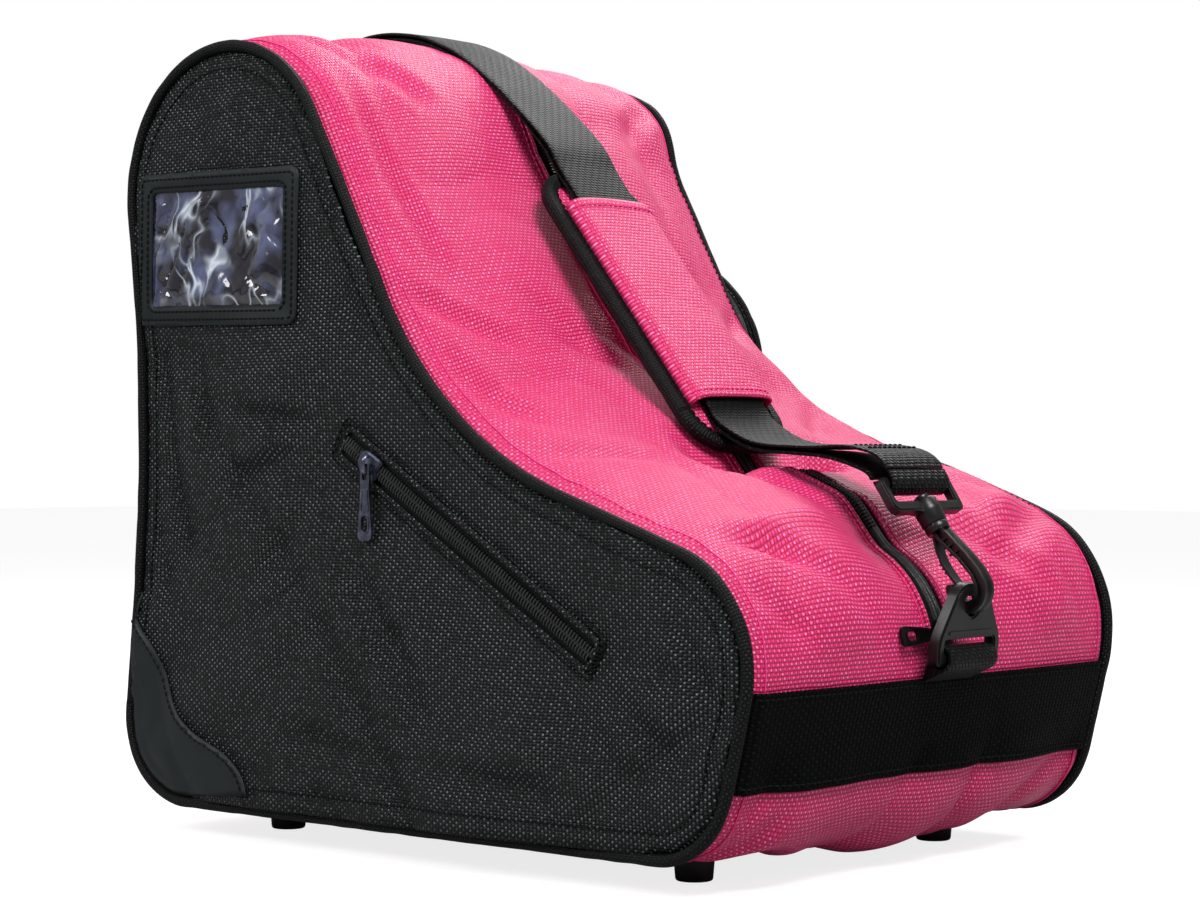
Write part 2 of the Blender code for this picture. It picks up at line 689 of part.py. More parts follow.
def hook(name, side, lean):
    apex = ring_apex(side)
    chain = chain_frame(apex, lean, side)
    outer = [(0.0030, 0.0285), (0.0094, 0.0040), *arc((0.0, 0.0), EYE_OUT, 0.0, -pi * 0.96, 10)]
    tip = [(-0.0084, 0.0040), (-0.0074, 0.0062), (-0.0050, 0.0062), (-0.0047, 0.0010)]
    inner = arc((0.0, 0.0), EYE_IN, -pi * 0.96, 0.0, 8)
    inner += [(0.0046, 0.0040), (-0.0014, 0.0245), (-0.0014, 0.0285)]
    shape = outer + tip + inner
    pivot = (apex[0], 0.0, apex[1])
    body = prism(name, shape, across_chain(chain), -0.0030, 0.0030, PLASTIC, pivot=pivot)
    stem = [(0.0050, 0.0276), (0.0050, NECK_V), (0.0022, NECK_V)]
    stem += [(0.0022, HEAD_V), (0.0034, HEAD_V), (0.0034, 0.0433)]
    swivel = turned(name + "_stem", stem, along_chain(chain), PLASTIC, sides=12, hidden=True)
    boolean(body, swivel, "UNION")


def gate(name, side, lean):
    """A thin bowed spring gate that closes the hook from inside its tip."""
    chain = chain_frame(ring_apex(side), lean, side)
    line = [(-0.0026, 0.0262), (-0.0044, 0.0200), (-0.0050, 0.0140), (-0.0044, 0.0080), (-0.0036, 0.0046)]
    thick = 0.0011
    shape = line + [(w + thick, v) for w, v in reversed(line)]
    pivot = chain(0.0, GATE_ROOT[1], GATE_ROOT[0])
    prism(name, shape, across_chain(chain), -0.0026, 0.0026, PLASTIC, pivot=pivot)


BAR_V = 0.0500
LOOP_IN = 0.0034
LOOP_END_V = 0.0535


def swivel_frame(name, side, lean):
    apex = ring_apex(side)
    chain = chain_frame(apex, lean, side)
    outer = rounded_box((0.0, 0.0440), (0.0470, 0.0160), 0.0030, steps=2)
    inner = rounded_box((0.0, 0.0443), (0.0396, 0.0074), 0.0010, steps=2)
    pivot = (apex[0], 0.0, apex[1])
    body = frame_prism(name, outer, inner, chain, -0.0022, 0.0022, PLASTIC, pivot=pivot)
    barrel = [(0.0052, NECK_V + 0.0004), (0.0052, HEAD_V - 0.0004)]
    hub = turned(name + "_hub", barrel, along_chain(chain), PLASTIC, hidden=True)
    boolean(body, hub, "UNION")
    bore = [(0.0026, 0.0290), (0.0026, 0.0425)]
    hole = turned(name + "_bore", bore, along_chain(chain), PLASTIC, sides=12, hidden=True)
    boolean(body, hole, "DIFFERENCE")


def strap_loop(name, side, lean):
    """The fold of the strap round the frame's outer bar."""
    apex = ring_apex(side)
    chain = chain_frame(apex, lean, side)
    out = LOOP_IN + WEBBING
    outer = [(-out, LOOP_END_V), *arc((0.0, BAR_V), out, -pi, 0.0, 8), (out, LOOP_END_V)]
    inner = [(LOOP_IN, LOOP_END_V), *arc((0.0, BAR_V), LOOP_IN, 0.0, -pi, 8), (-LOOP_IN, LOOP_END_V)]
    half = WEBBING_WIDTH / 2
    pivot = (apex[0], 0.0, apex[1])
    prism(name, outer + inner, across_chain(chain), -half, half, WEB, pivot=pivot)


def clip_chain(end, side, lean):
    tab(end + "_tab", side)
    triangle_ring(end + "_ring", side)
    hook(end + "_hook", side, lean)
    gate(end + "_gate", side, lean)
    swivel_frame(end + "_swivel_frame", side, lean)
    strap_loop(f"strap_{end}_loop", side, lean)


# ---------------------------------------------------------------- strap and shoulder pad
PAD_ALONG = Vector((cos(PAD_SLOPE), 0.0, -sin(PAD_SLOPE)))
PAD_OUT = Vector((sin(PAD_SLOPE), 0.0, cos(PAD_SLOPE)))


def on_pad(along, y, out):
    """Places a point of the shoulder pad, from the sleeve's upper end on the strap's middle line."""
    return Vector((PAD_START[0], y, PAD_START[1])) + PAD_ALONG * along + PAD_OUT * out


def smooth_line(points, step):
    """(x, z, normal) at even steps along a smooth curve through the given (x, z) points."""
    fine = []
    ends = [points[0], *points, points[-1]]
    for a, b, c, d in zip(ends, ends[1:], ends[2:], ends[3:]):
        for k in range(24):
            t = k / 24
            fine.append(tuple(catmull_rom(a[i], b[i], c[i], d[i], t) for i in range(2)))
    fine.append(points[-1])
    chosen = [0]
    run = 0.0
    for k in range(1, len(fine) - 1):
        run += hypot(fine[k][0] - fine[k - 1][0], fine[k][1] - fine[k - 1][1])
        if run >= step:
            chosen.append(k)
            run = 0.0
    if run < step / 2:
        chosen.pop()
    chosen.append(len(fine) - 1)
    line = []
    for k in chosen:
        ax, az = fine[max(k - 1, 0)]
        bx, bz = fine[min(k + 1, len(fine) - 1)]
        length = hypot(bx - ax, bz - az)
        line.append((*fine[k], ((bz - az) / length, (ax - bx) / length)))
    return line


def catmull_rom(a, b, c, d, t):
    return 0.5 * (2 * b + (c - a) * t + (2 * a - 5 * b + 4 * c - d) * t * t + (3 * b - a - 3 * c + d) * t**3)


def strap_points():
    """The strap's middle line, from the front frame over the shoulder pad and the top to the rear frame."""
    front = chain_frame(ring_apex(1), FRONT_HOOK_LEAN, 1)
    rear = chain_frame(ring_apex(-1), REAR_HOOK_LEAN, -1)
    start = [front(0.0, LOOP_END_V + rise, 0.0) for rise in (0.0012, 0.0040)]
    shift = LOOP_OFFSET - LAYER_OFFSET
    rear_end = [rear(0.0, LOOP_END_V + rise, shift) for rise in (0.0060, 0.0012)]
    pad_line = [on_pad(along, 0.0, 0.0) for along in (0.124, 0.110, 0.075, 0.040, 0.005, -0.020, -0.036)]
    over_foot = [(0.1555, 0.1640), (0.1410, 0.1668), (0.1180, 0.1680), (0.0965, 0.1700)]
    over_top = [(-0.0460, 0.3262), (-0.0765, 0.3470), (-0.1080, 0.3575), (-0.1420, 0.3560)]
    over_top.append((-0.1730, 0.3390))
    behind = [(-0.1875, 0.3140), (REAR_RUN_X, 0.2830), (REAR_RUN_X, 0.2400), (REAR_RUN_X, 0.1950)]
    line = [(p.x, p.z) for p in start] + over_foot + [(p.x, p.z) for p in pad_line]
    return line + over_top + behind + [(p.x, p.z) for p in rear_end]


def layer_offset(run):
    """How far a layer's middle stands off the strap's middle line, run metres from the front end."""
    flare = max(0.0, 1.0 - run / 0.045)
    return LAYER_OFFSET + (LOOP_OFFSET - LAYER_OFFSET) * flare * flare * (3 - 2 * flare)


def strap_layer(name, side, last_z=None):
    """One layer of the strap's webbing. side is 1 for the outer layer and -1 for the inner one."""
    line = smooth_line(strap_points(), STRAP_STEP)
    half = WEBBING_WIDTH / 2
    loops = []
    run = 0.0
    last = line[0]
    for x, z, out in line:
        run += hypot(x - last[0], z - last[1])
        last = (x, z)
        if last_z is not None and x < -0.18 and z < last_z:
            break
        middle = side * layer_offset(run)
        low = middle - WEBBING / 2
        high = middle + WEBBING / 2
        corners = ((-half, low), (half, low), (half, high), (-half, high))
        loops.append([(x + out[0] * reach, y, z + out[1] * reach) for y, reach in corners])
    skin(name, loops, WEB)


def adjuster():
    """A sleeve-like slide adjuster round both layers of the strap's straight rear run."""
    outer = rounded_box((REAR_RUN_X, 0.0), (0.0090, 0.0480), 0.0015, steps=2)
    inner = rounded_box((REAR_RUN_X, 0.0), (0.0052, 0.0390), 0.0004, steps=2)
    half = 0.0110
    frame_prism("strap_adjuster", outer, inner, flat_on, ADJUSTER_Z - half, ADJUSTER_Z + half, PLASTIC)


def shoulder_pad():
    length = PAD_ABOVE_SLEEVE + SLEEVE_LENGTH + PAD_BELOW_SLEEVE
    centre = (length / 2 - PAD_ABOVE_SLEEVE, 0.0)
    rim = 0.0055
    outer = rounded_box(centre, (length, 2 * PAD_HALF_WIDTH), 0.0200, steps=4)
    inner_size = (length - 2 * rim, 2 * (PAD_HALF_WIDTH - rim))
    rim_inner = rounded_box(centre, inner_size, 0.0200 - rim, steps=4)
    core = rim + GAP
    core_size = (length - 2 * core, 2 * (PAD_HALF_WIDTH - core))
    core_outline = rounded_box(centre, core_size, 0.0200 - core, steps=4)
    top = -0.0026
    pivot = (PAD_START[0], 0.0, PAD_START[1])
    prism("shoulder_pad_base", core_outline, on_pad, top - PAD_THICKNESS, top, PINK, pivot=pivot)
    bottom = top - PAD_THICKNESS - 0.0004
    frame_prism("shoulder_pad_binding", outer, rim_inner, on_pad, bottom, top, PIPING, pivot=pivot)
    half = PAD_HALF_WIDTH - rim - 0.0020
    low = top + GAP
    section = [(-half, low), (-half, 0.0012), (-half + 0.0030, 0.0034)]
    section += [(half - 0.0030, 0.0034), (half, 0.0012), (half, low)]
    inside = half - 0.0018
    section += [(inside, low), (inside, 0.0012), (inside - 0.0020, 0.0023)]
    section += [(-inside + 0.0020, 0.0023), (-inside, 0.0012), (-inside, low)]
    loops = [[on_pad(along, y, out) for y, out in section] for along in (0.0, SLEEVE_LENGTH)]
    skin("shoulder_pad_sleeve", loops, PINK, pivot=pivot)


def build():
    side_panels()
    side_piping("piping_near", -SEAM_Y)
    side_piping("piping_far", SEAM_Y)
    gusset()
    bands()
    main_zip_tapes()
    side_zip_tape("side_zip_tape_upper", 1)
    side_zip_tape("side_zip_tape_lower", -1)
    main_slider()
    side_slider()
    side_pouch()
    id_window()
    patches()
    far_pocket()
    far_slider()
    base_and_feet()
    clip_chain("front", 1, FRONT_HOOK_LEAN)
    clip_chain("rear", -1, REAR_HOOK_LEAN)
    strap_layer("strap_outer_layer", 1)
    strap_layer("strap_inner_layer", -1, last_z=ADJUSTER_Z)
    adjuster()
    shoulder_pad()


build()
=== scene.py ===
"""A boot-shaped skate bag in soft cloth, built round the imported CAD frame.

Lengths are metres. Every shape is drawn in the bag's own frame, where Y is 0 midway between the side seams,
and put() moves it by BAG_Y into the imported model's frame.
"""

from math import acos, asin, atan2, cos, hypot, pi, radians, sin

import bpy
import numpy as np
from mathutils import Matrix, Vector
from mathutils.geometry import delaunay_2d_cdt


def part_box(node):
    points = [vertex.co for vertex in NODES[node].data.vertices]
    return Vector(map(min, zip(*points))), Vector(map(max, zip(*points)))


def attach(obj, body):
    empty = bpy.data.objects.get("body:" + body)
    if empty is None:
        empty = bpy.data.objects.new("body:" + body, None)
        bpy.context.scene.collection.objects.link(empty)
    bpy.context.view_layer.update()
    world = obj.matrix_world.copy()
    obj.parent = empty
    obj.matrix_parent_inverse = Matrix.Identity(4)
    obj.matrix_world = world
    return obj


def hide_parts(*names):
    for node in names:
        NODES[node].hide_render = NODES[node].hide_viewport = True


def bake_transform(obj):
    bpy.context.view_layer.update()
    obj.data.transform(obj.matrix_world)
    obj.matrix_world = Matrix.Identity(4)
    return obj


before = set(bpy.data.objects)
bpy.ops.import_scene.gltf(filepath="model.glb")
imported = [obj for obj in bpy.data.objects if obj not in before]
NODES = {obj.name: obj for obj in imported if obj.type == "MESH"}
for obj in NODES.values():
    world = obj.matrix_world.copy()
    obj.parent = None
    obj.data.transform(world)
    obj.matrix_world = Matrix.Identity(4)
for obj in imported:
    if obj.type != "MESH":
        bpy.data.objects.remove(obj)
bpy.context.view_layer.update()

BAG_Y = (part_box("piping_near")[0].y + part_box("piping_far")[1].y) / 2
FLOOR_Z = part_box("foot_front_near")[0].z

# ---------------------------------------------------------------- sizes shared with the CAD
SIDES = (("near", -1), ("far", 1))
SEAM_Y = 0.1210
PIPING_RADIUS = 0.0025
GUSSET_HALF = 0.1182
GUSSET_INSET = 0.0015
PANEL_OUT = 0.1225
WEBBING = 0.0016
CLOTH = 0.0014
HALF_WEBBING = 0.0190
ZIP_HALF = 0.0072
OUTLINE_CIRCLES = (
    (-0.1400, 0.0505, 0.0395),
    (0.1340, 0.0485, 0.0375),
    (0.1310, 0.0850, 0.0495),
    (0.1361, 0.3147, -0.1700),
    (-0.1130, 0.2800, 0.0655),
    (-0.8105, 0.1720, -0.6400),
)
TOE_TOP = (0.1310, 0.0850)
TOE_RADIUS = 0.0495
SIDE_ZIP_TOP = (-0.0365, 0.1720)
SIDE_ZIP_END = (0.1035, 0.0885)
POCKET_X, POCKET_ARCH_Z, POCKET_RADIUS = -0.0925, 0.2045, 0.0575
POCKET_BOTTOM_Z, POCKET_CORNER = 0.0600, 0.0200
POCKET_ZIP_Y, POCKET_TAPE, POCKET_END_Y = 0.1420, 0.0060, 0.1565
ID_CENTRE = (-0.1150, 0.2555)
FEET = [(x, y) for x in (0.1180, -0.1180) for y in (-0.0800, 0.0800)]
FOOT_TOP_Z = 0.0122
RING_BAR = (0.1895, 0.0862)
RING_LEAN = radians(6.6)
RING_APEX = 0.0270
FRONT_LEAN = radians(33.5)
REAR_LEAN = radians(12)
PAD_START = (0.0010, 0.2746)
PAD_SLOPE = radians(50.8)
SLEEVE_LENGTH = 0.1120
PAD_OVERHANG = 0.0220
PAD_HALF = 0.0320
PAD_UNDER = 0.0105
REAR_RUN_X = -0.1915
ADJUSTER_Z = 0.2320


# ---------------------------------------------------------------- materials
class Nodes:
    """A small helper that adds shader nodes and links them in one call each."""

    def __init__(self, name):
        self.material = bpy.data.materials.new(name)
        self.material.use_nodes = True
        self.tree = self.material.node_tree
        self.shader = self.tree.nodes["Principled BSDF"]

    def add(self, kind, *inputs, **settings):
        node = self.tree.nodes.new("ShaderNode" + kind)
        for key, value in settings.items():
            setattr(node, key, value)
        for place, value in enumerate(inputs):
            self.feed(node.inputs[place], value)
        return node

    def feed(self, socket, value):
        if value is None:
            return
        if hasattr(value, "links"):
            self.tree.links.new(value, socket)
        else:
            socket.default_value = value

    def math(self, operation, a, b=None, clamp=False):
        return self.add("Math", a, b, operation=operation, use_clamp=clamp).outputs[0]

    def times(self, a, b, clamp=False):
        return self.math("MULTIPLY", a, b, clamp)

    def plus(self, a, b):
        return self.math("ADD", a, b)

    def minus(self, a, b):
        return self.math("SUBTRACT", a, b)

    def mix(self, share, a, b):
        node = self.tree.nodes.new("ShaderNodeMix")
        node.data_type = "RGBA"
        self.feed(node.inputs[0], share)
        self.feed(node.inputs[6], a)
        self.feed(node.inputs[7], b)
        return node.outputs[2]

    def noise(self, vector, scale, detail=2.0):
        node = self.add("TexNoise")
        self.feed(node.inputs["Vector"], vector)
        node.inputs["Scale"].default_value = scale
        node.inputs["Detail"].default_value = detail
        return node.outputs[0]

    def ramp(self, value, low, high, to_low=0.0, to_high=1.0):
        node = self.add("MapRange", value, low, high, to_low, to_high)
        return node.outputs[0]

    def place(self):
        """The piece's own cloth coordinates, in metres."""
        return self.add("Attribute", attribute_name="cloth").outputs["Vector"]

    def body(self):
        return self.add("TexCoord").outputs["Object"]

    def bump(self, height, distance, strength=1.0):
        node = self.add("Bump")
        node.inputs["Strength"].default_value = strength
        node.inputs["Distance"].default_value = distance
        self.feed(node.inputs["Height"], height)
        self.tree.links.new(node.outputs[0], self.shader.inputs["Normal"])

    def set(self, **values):
        for key, value in values.items():
            self.feed(self.shader.inputs[key.replace("_", " ")], value)
        return self.material


def thread_cells(made, along, across, shear=0.0):
    """Height 0 to 1 of a plain weave with threads this far apart, and a number for each crossing."""
    split = made.add("SeparateXYZ", made.place())
    wobble = made.noise(made.place(), 60.0, 1.0)
    drift = made.times(made.minus(wobble, 0.5), 0.5)
    a = made.plus(made.math("DIVIDE", split.outputs[0], along), drift)
    b = made.plus(made.math("DIVIDE", split.outputs[1], across), drift)
    if shear:
        b = made.plus(b, made.times(a, shear))
    cell_a = made.math("FLOOR", a)
    cell_b = made.math("FLOOR", b)
    odd = made.math("PINGPONG", made.plus(cell_a, cell_b), 1.0)
    swell_a = made.math("SINE", made.times(made.math("FRACT", a), pi))
    swell_b = made.math("SINE", made.times(made.math("FRACT", b), pi))
    lift_a = made.times(swell_a, made.ramp(swell_b, 0.0, 1.0, 0.35, 1.0))
    lift_b = made.times(swell_b, made.ramp(swell_a, 0.0, 1.0, 0.35, 1.0))
    first = made.times(lift_a, odd)
    second = made.times(lift_b, made.minus(1.0, odd))
    height = made.plus(first, made.times(second, 0.55))
    lattice = made.add("CombineXYZ", cell_a, cell_b, 0.0).outputs[0]
    number = made.add("TexWhiteNoise", lattice, noise_dimensions="3D").outputs[0]
    return height, number


def woven(name, gap_shade, base, crown_highlight, along, across, distance, roughness, sheen, tint, shear=0.0, gloss=0.25):
    """A plain-woven cloth: painted shade between the threads and a painted highlight on their crowns, which
    varies from crown to crown.
    """
    made = Nodes(name)
    height, number = thread_cells(made, along, across, shear)
    broad = made.noise(made.body(), 9.0, 3.0)
    # Painted shade: a darker colour between the threads, where the weave is low.
    body = made.mix(made.ramp(height, 0.10, 0.65), gap_shade, base)
    varied = made.plus(made.times(number, 0.5), made.times(broad, 0.5))
    # Painted highlight: a paler colour on the thread crowns, stronger on some crowns than on others.
    crown = made.times(made.ramp(height, 0.55, 1.0), made.ramp(varied, 0.25, 0.8), clamp=True)
    colour = made.mix(crown, body, crown_highlight)
    made.bump(height, distance)
    rough = made.ramp(broad, 0.3, 0.7, roughness - 0.06, roughness + 0.06)
    made.set(Base_Color=colour, Roughness=rough, Sheen_Weight=sheen, Sheen_Roughness=0.45)
    return made.set(Sheen_Tint=tint, Specular_IOR_Level=gloss)


def moulded(name, colour, roughness, grain, distance, coat=0.0):
    """Moulded plastic: a fine spark-eroded grain and slightly paler rubbed patches."""
    made = Nodes(name)
    fine = made.noise(made.body(), grain, 3.0)
    broad = made.noise(made.body(), 70.0, 2.0)
    paler = tuple(min(1.0, c * 1.9 + 0.004) for c in colour[:3]) + (1.0,)
    made.bump(fine, distance, 0.6)
    rough = made.ramp(broad, 0.3, 0.7, roughness - 0.07, roughness + 0.07)
    tone = made.mix(made.ramp(broad, 0.55, 0.85), colour, paler)
    made.set(Base_Color=tone, Roughness=rough, Coat_Weight=coat, Coat_Roughness=0.3)
    return made.set(Specular_IOR_Level=0.35)


def leather():
    made = Nodes("faux_leather")
    cells = made.add("TexVoronoi", feature="DISTANCE_TO_EDGE")
    made.feed(cells.inputs["Vector"], made.body())
    cells.inputs["Scale"].default_value = 900.0
    pores = made.ramp(cells.outputs[0], 0.0, 0.25)
    broad = made.noise(made.body(), 40.0, 4.0)
    height = made.plus(made.times(pores, 0.5), broad)
    made.bump(height, 0.00010, 0.5)
    colour = made.mix(broad, (0.004, 0.0065, 0.0072, 1), (0.011, 0.016, 0.0175, 1))
    rough = made.ramp(broad, 0.3, 0.7, 0.44, 0.58)
    return made.set(Base_Color=colour, Roughness=rough, Specular_IOR_Level=0.20)


def metal(name, colour, roughness):
    made = Nodes(name)
    stretch = made.add("Mapping", made.body())
    stretch.inputs["Scale"].default_value = (1.0, 1.0, 0.08)
    brushed = made.noise(stretch.outputs[0], 2600.0, 2.0)
    worn = made.noise(made.body(), 260.0, 3.0)
    made.bump(brushed, 0.00002, 0.5)
    paler = tuple(min(1.0, c * 1.7) for c in colour[:3]) + (1.0,)
    tone = made.mix(made.ramp(worn, 0.5, 0.75), colour, paler)
    rough = made.ramp(worn, 0.3, 0.7, roughness - 0.08, roughness + 0.08)
    return made.set(Base_Color=tone, Metallic=1.0, Roughness=rough)


def thread(name, colour):
    """Twisted sewing thread. Its cloth coordinate runs along each stitch."""
    made = Nodes(name)
    split = made.add("SeparateXYZ", made.place())
    twist = made.math("SINE", made.times(split.outputs[0], 9000.0))
    broad = made.noise(made.body(), 300.0, 2.0)
    darker = tuple(c * 0.5 for c in colour[:3]) + (1.0,)
    made.bump(twist, 0.00008, 0.6)
    return made.set(Base_Color=made.mix(broad, darker, colour), Roughness=0.75, Specular_IOR_Level=0.12)


def clear_vinyl():
    """Crumpled clear film over a dark pocket: dark, with a painted bluish reflection haze and painted pale
    glints along streaks where the creases turn.
    """
    made = Nodes("clear_vinyl")
    bent = made.noise(made.body(), 45.0, 1.0)
    shifted = made.add("VectorMath", made.body(), operation="MULTIPLY_ADD")
    shifted.inputs[1].default_value = (1.0, 1.0, 0.62)
    sideways = made.add("CombineXYZ", made.times(bent, 0.05), 0.0, 0.0)
    made.feed(shifted.inputs[2], sideways.outputs[0])
    streak = made.noise(shifted.outputs[0], 70.0, 1.5)
    # Painted glints: a pale colour along thin streaks where the creases turn, in some patches only.
    ridge = made.math("ABSOLUTE", made.minus(streak, 0.5))
    line = made.ramp(ridge, 0.0, 0.080, 1.0, 0.0)
    patch = made.ramp(made.noise(made.body(), 42.0, 2.0), 0.42, 0.62)
    painted_glint = made.times(made.math("POWER", line, 2.4), patch, clamp=True)
    # Painted reflection: a bluish haze in patches over the film's dark colour.
    reflection_haze = made.ramp(made.noise(made.body(), 62.0, 2.0), 0.46, 0.70, 0.0, 0.60)
    dark = made.mix(reflection_haze, (0.005, 0.005, 0.014, 1), (0.19, 0.22, 0.44, 1))
    made.bump(streak, 0.0014, 0.5)
    tone = made.mix(painted_glint, dark, (0.80, 0.88, 1.0, 1))
    made.set(Base_Color=tone, Roughness=made.ramp(reflection_haze, 0.0, 0.3, 0.05, 0.16))
    return made.set(Transmission_Weight=0.30, IOR=1.5, Coat_Weight=0.8, Coat_Roughness=0.03)


# Each woven cloth gets: painted shade between its threads, its own colour, and a painted highlight on the
# thread crowns.
PINK = woven(
    "pink_fabric", (0.34, 0.003, 0.040, 1), (0.79, 0.022, 0.185, 1), (1.0, 0.310, 0.700, 1),
    0.00180, 0.00130, 0.00046, 0.44, 0.08, (1.0, 0.55, 0.80, 1), gloss=0.34,
)
BLACK = woven(
    "black_fabric", (0.0004, 0.0005, 0.0006, 1), (0.0036, 0.0048, 0.0052, 1), (0.185, 0.225, 0.240, 1),
    0.00180, 0.00130, 0.00055, 0.36, 0.0, (0.75, 0.85, 0.90, 1), gloss=0.16,
)
WEB = woven(
    "webbing", (0.0006, 0.0006, 0.0006, 1), (0.0035, 0.0040, 0.0040, 1), (0.026, 0.031, 0.031, 1),
    0.00150, 0.00230, 0.00050, 0.46, 0.0, (0.8, 0.8, 0.8, 1), shear=0.5, gloss=0.12,
)
BAND = woven(
    "band_webbing", (0.0004, 0.0004, 0.0004, 1), (0.0016, 0.0020, 0.0019, 1), (0.0075, 0.0100, 0.0095, 1),
    0.00240, 0.00150, 0.00050, 0.60, 0.0, (0.8, 0.8, 0.8, 1), gloss=0.04,
)
BINDING = woven(
    "binding", (0.0006, 0.0006, 0.0006, 1), (0.0034, 0.0040, 0.0042, 1), (0.022, 0.027, 0.029, 1),
    0.00130, 0.00120, 0.00036, 0.50, 0.0, (0.8, 0.8, 0.8, 1), gloss=0.12,
)
TAPE = woven(
    "zip_tape", (0.001, 0.001, 0.001, 1), (0.003, 0.003, 0.003, 1), (0.008, 0.008, 0.009, 1),
    0.00070, 0.00060, 0.00012, 0.60, 0.0, (0.8, 0.8, 0.8, 1), gloss=0.12,
)
LINING = woven(
    "lining", (0.010, 0.010, 0.010, 1), (0.022, 0.022, 0.023, 1), (0.040, 0.040, 0.042, 1),
    0.00050, 0.00050, 0.00008, 0.60, 0.05, (0.8, 0.8, 0.8, 1),
)
LEATHER = leather()
PLASTIC = moulded("black_plastic", (0.005, 0.005, 0.005, 1), 0.34, 1800.0, 0.00003)
FOOT = moulded("foot_plastic", (0.005, 0.005, 0.005, 1), 0.48, 1200.0, 0.00005)
BOARD = moulded("base_board", (0.030, 0.030, 0.030, 1), 0.55, 600.0, 0.00005)
COIL = moulded("nylon_coil", (0.020, 0.021, 0.022, 1), 0.26, 2200.0, 0.00002)
METAL = metal("gunmetal", (0.115, 0.125, 0.170, 1), 0.30)
DARK_METAL = metal("dark_gunmetal", (0.022, 0.022, 0.026, 1), 0.38)
STEEL = metal("rivet_steel", (0.50, 0.50, 0.52, 1), 0.35)
VINYL = clear_vinyl()
BLACK_THREAD = thread("black_thread", (0.004, 0.0045, 0.005, 1))
PINK_THREAD = thread("pink_thread", (0.86, 0.050, 0.24, 1))

# The material slot named for each finish, unless a piece says another. put() looks it up but doesn't store it
# on the piece.
SLOTS = {
    PINK: "pink_fabric",
    BLACK: "black_fabric",
    WEB: "webbing",
    BAND: "webbing",
    BINDING: "piping",
    TAPE: "zip_coil",
    COIL: "zip_coil",
    LINING: "lining",
    LEATHER: "faux_leather",
    PLASTIC: "black_plastic",
    FOOT: "foot_plastic",
    METAL: "gunmetal",
    DARK_METAL: "gunmetal",
    VINYL: "clear_vinyl",
    BLACK_THREAD: "black_fabric",
    PINK_THREAD: "pink_fabric",
}


# ---------------------------------------------------------------- mesh helpers
def put(
    name, points, faces, finish, nodes=(), body="bag", slot=None,
    cloth=None, outward=None, thick=0.0, sharp=40, bevel=0.0, joined=None,
):
    """Makes one piece from points in the bag's own frame. nodes are the CAD nodes that it replaces.

    joined is (other body, start, end) for cloth that runs from the body to the other one between two points:
    such a piece has its transform applied and isn't attached to any body.
    """
    points = np.asarray(points, float).reshape(-1, 3) + (0.0, BAG_Y, 0.0)
    mesh = bpy.data.meshes.new(name)
    mesh.from_pydata(points.tolist(), [], facing_out(points, faces, outward))
    layer = mesh.attributes.new("cloth", "FLOAT_VECTOR", "POINT")
    layer.data.foreach_set("vector", np.asarray(points if cloth is None else cloth, np.float32).ravel())
    mesh.shade_smooth()
    mesh.set_sharp_from_angle(angle=radians(sharp))
    mesh.materials.append(finish)
    made = bpy.data.objects.new(name, mesh)
    bpy.context.scene.collection.objects.link(made)
    if bevel:
        edge = made.modifiers.new("edge", "BEVEL")
        edge.width = bevel
        edge.segments = 2
        edge.limit_method = "ANGLE"
        edge.angle_limit = radians(40)
        edge.harden_normals = False
    if thick:
        layer = made.modifiers.new("cloth", "SOLIDIFY")
        layer.thickness = thick
        layer.offset = -1.0
    if joined:
        other, start, end = joined
        lifted(start)
        lifted(end)
        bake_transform(made)
    else:
        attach(made, body)
    slot = slot or SLOTS[finish]
    if nodes:
        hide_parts(*([nodes] if isinstance(nodes, str) else nodes))
    return made


def lifted(point):
    """A point of the bag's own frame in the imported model's frame."""
    return (point[0], point[1] + BAG_Y, point[2])


def turned_in(points, faces, outward):
    """True if the faces look inwards: by signed volume for a closed body, or against outward."""
    corners = np.array([(f[0], f[1], f[2]) for f in faces])
    a, b, c = points[corners[:, 0]], points[corners[:, 1]], points[corners[:, 2]]
    normals = np.cross(b - a, c - a)
    if outward is None:
        middle = points.mean(0)
        quads = np.array([(f[0], f[2], f[3]) for f in faces if len(f) == 4], int).reshape(-1, 3)
        volume = np.einsum("ij,ij->i", a - middle, np.cross(b - middle, c - middle)).sum()
        d, e, f = (points[quads[:, k]] - middle for k in range(3))
        return volume + np.einsum("ij,ij->i", d, np.cross(e, f)).sum() < 0
    outward = np.broadcast_to(np.asarray(outward, float), points.shape)
    return np.einsum("ij,ij->i", normals, outward[corners[:, 0]]).sum() < 0


def facing_out(points, faces, outward=None):
    """The faces, turned round if they look inwards."""
    return [tuple(reversed(f)) for f in faces] if turned_in(points, faces, outward) else faces


def grid_faces(rows, columns, close_rows=False, close_columns=False):
    faces = []
    for i in range(rows if close_rows else rows - 1):
        for k in range(columns if close_columns else columns - 1):
            a, b = i * columns + k, i * columns + (k + 1) % columns
            c, d = (i + 1) % rows * columns + (k + 1) % columns, (i + 1) % rows * columns + k
            faces.append((a, b, c, d))
    return faces


def sheet(name, us, vs, place, finish, nodes, thick, close_rows=False, along_v=False):
    """A sheet over a grid. place(u, v) gives its points and outward directions.

    The first cloth coordinate is u, or v for webbing that runs along v.
    """
    grid_u, grid_v = np.meshgrid(us, vs, indexing="ij")
    points, outward = place(grid_u, grid_v)
    first, second = (grid_v, grid_u) if along_v else (grid_u, grid_v)
    cloth = np.stack([first, second, np.zeros_like(grid_v)], -1).reshape(-1, 3)
    faces = grid_faces(len(us), len(vs), close_rows)
    put(name, points, faces, finish, nodes, cloth=cloth, outward=outward.reshape(-1, 3), thick=thick)


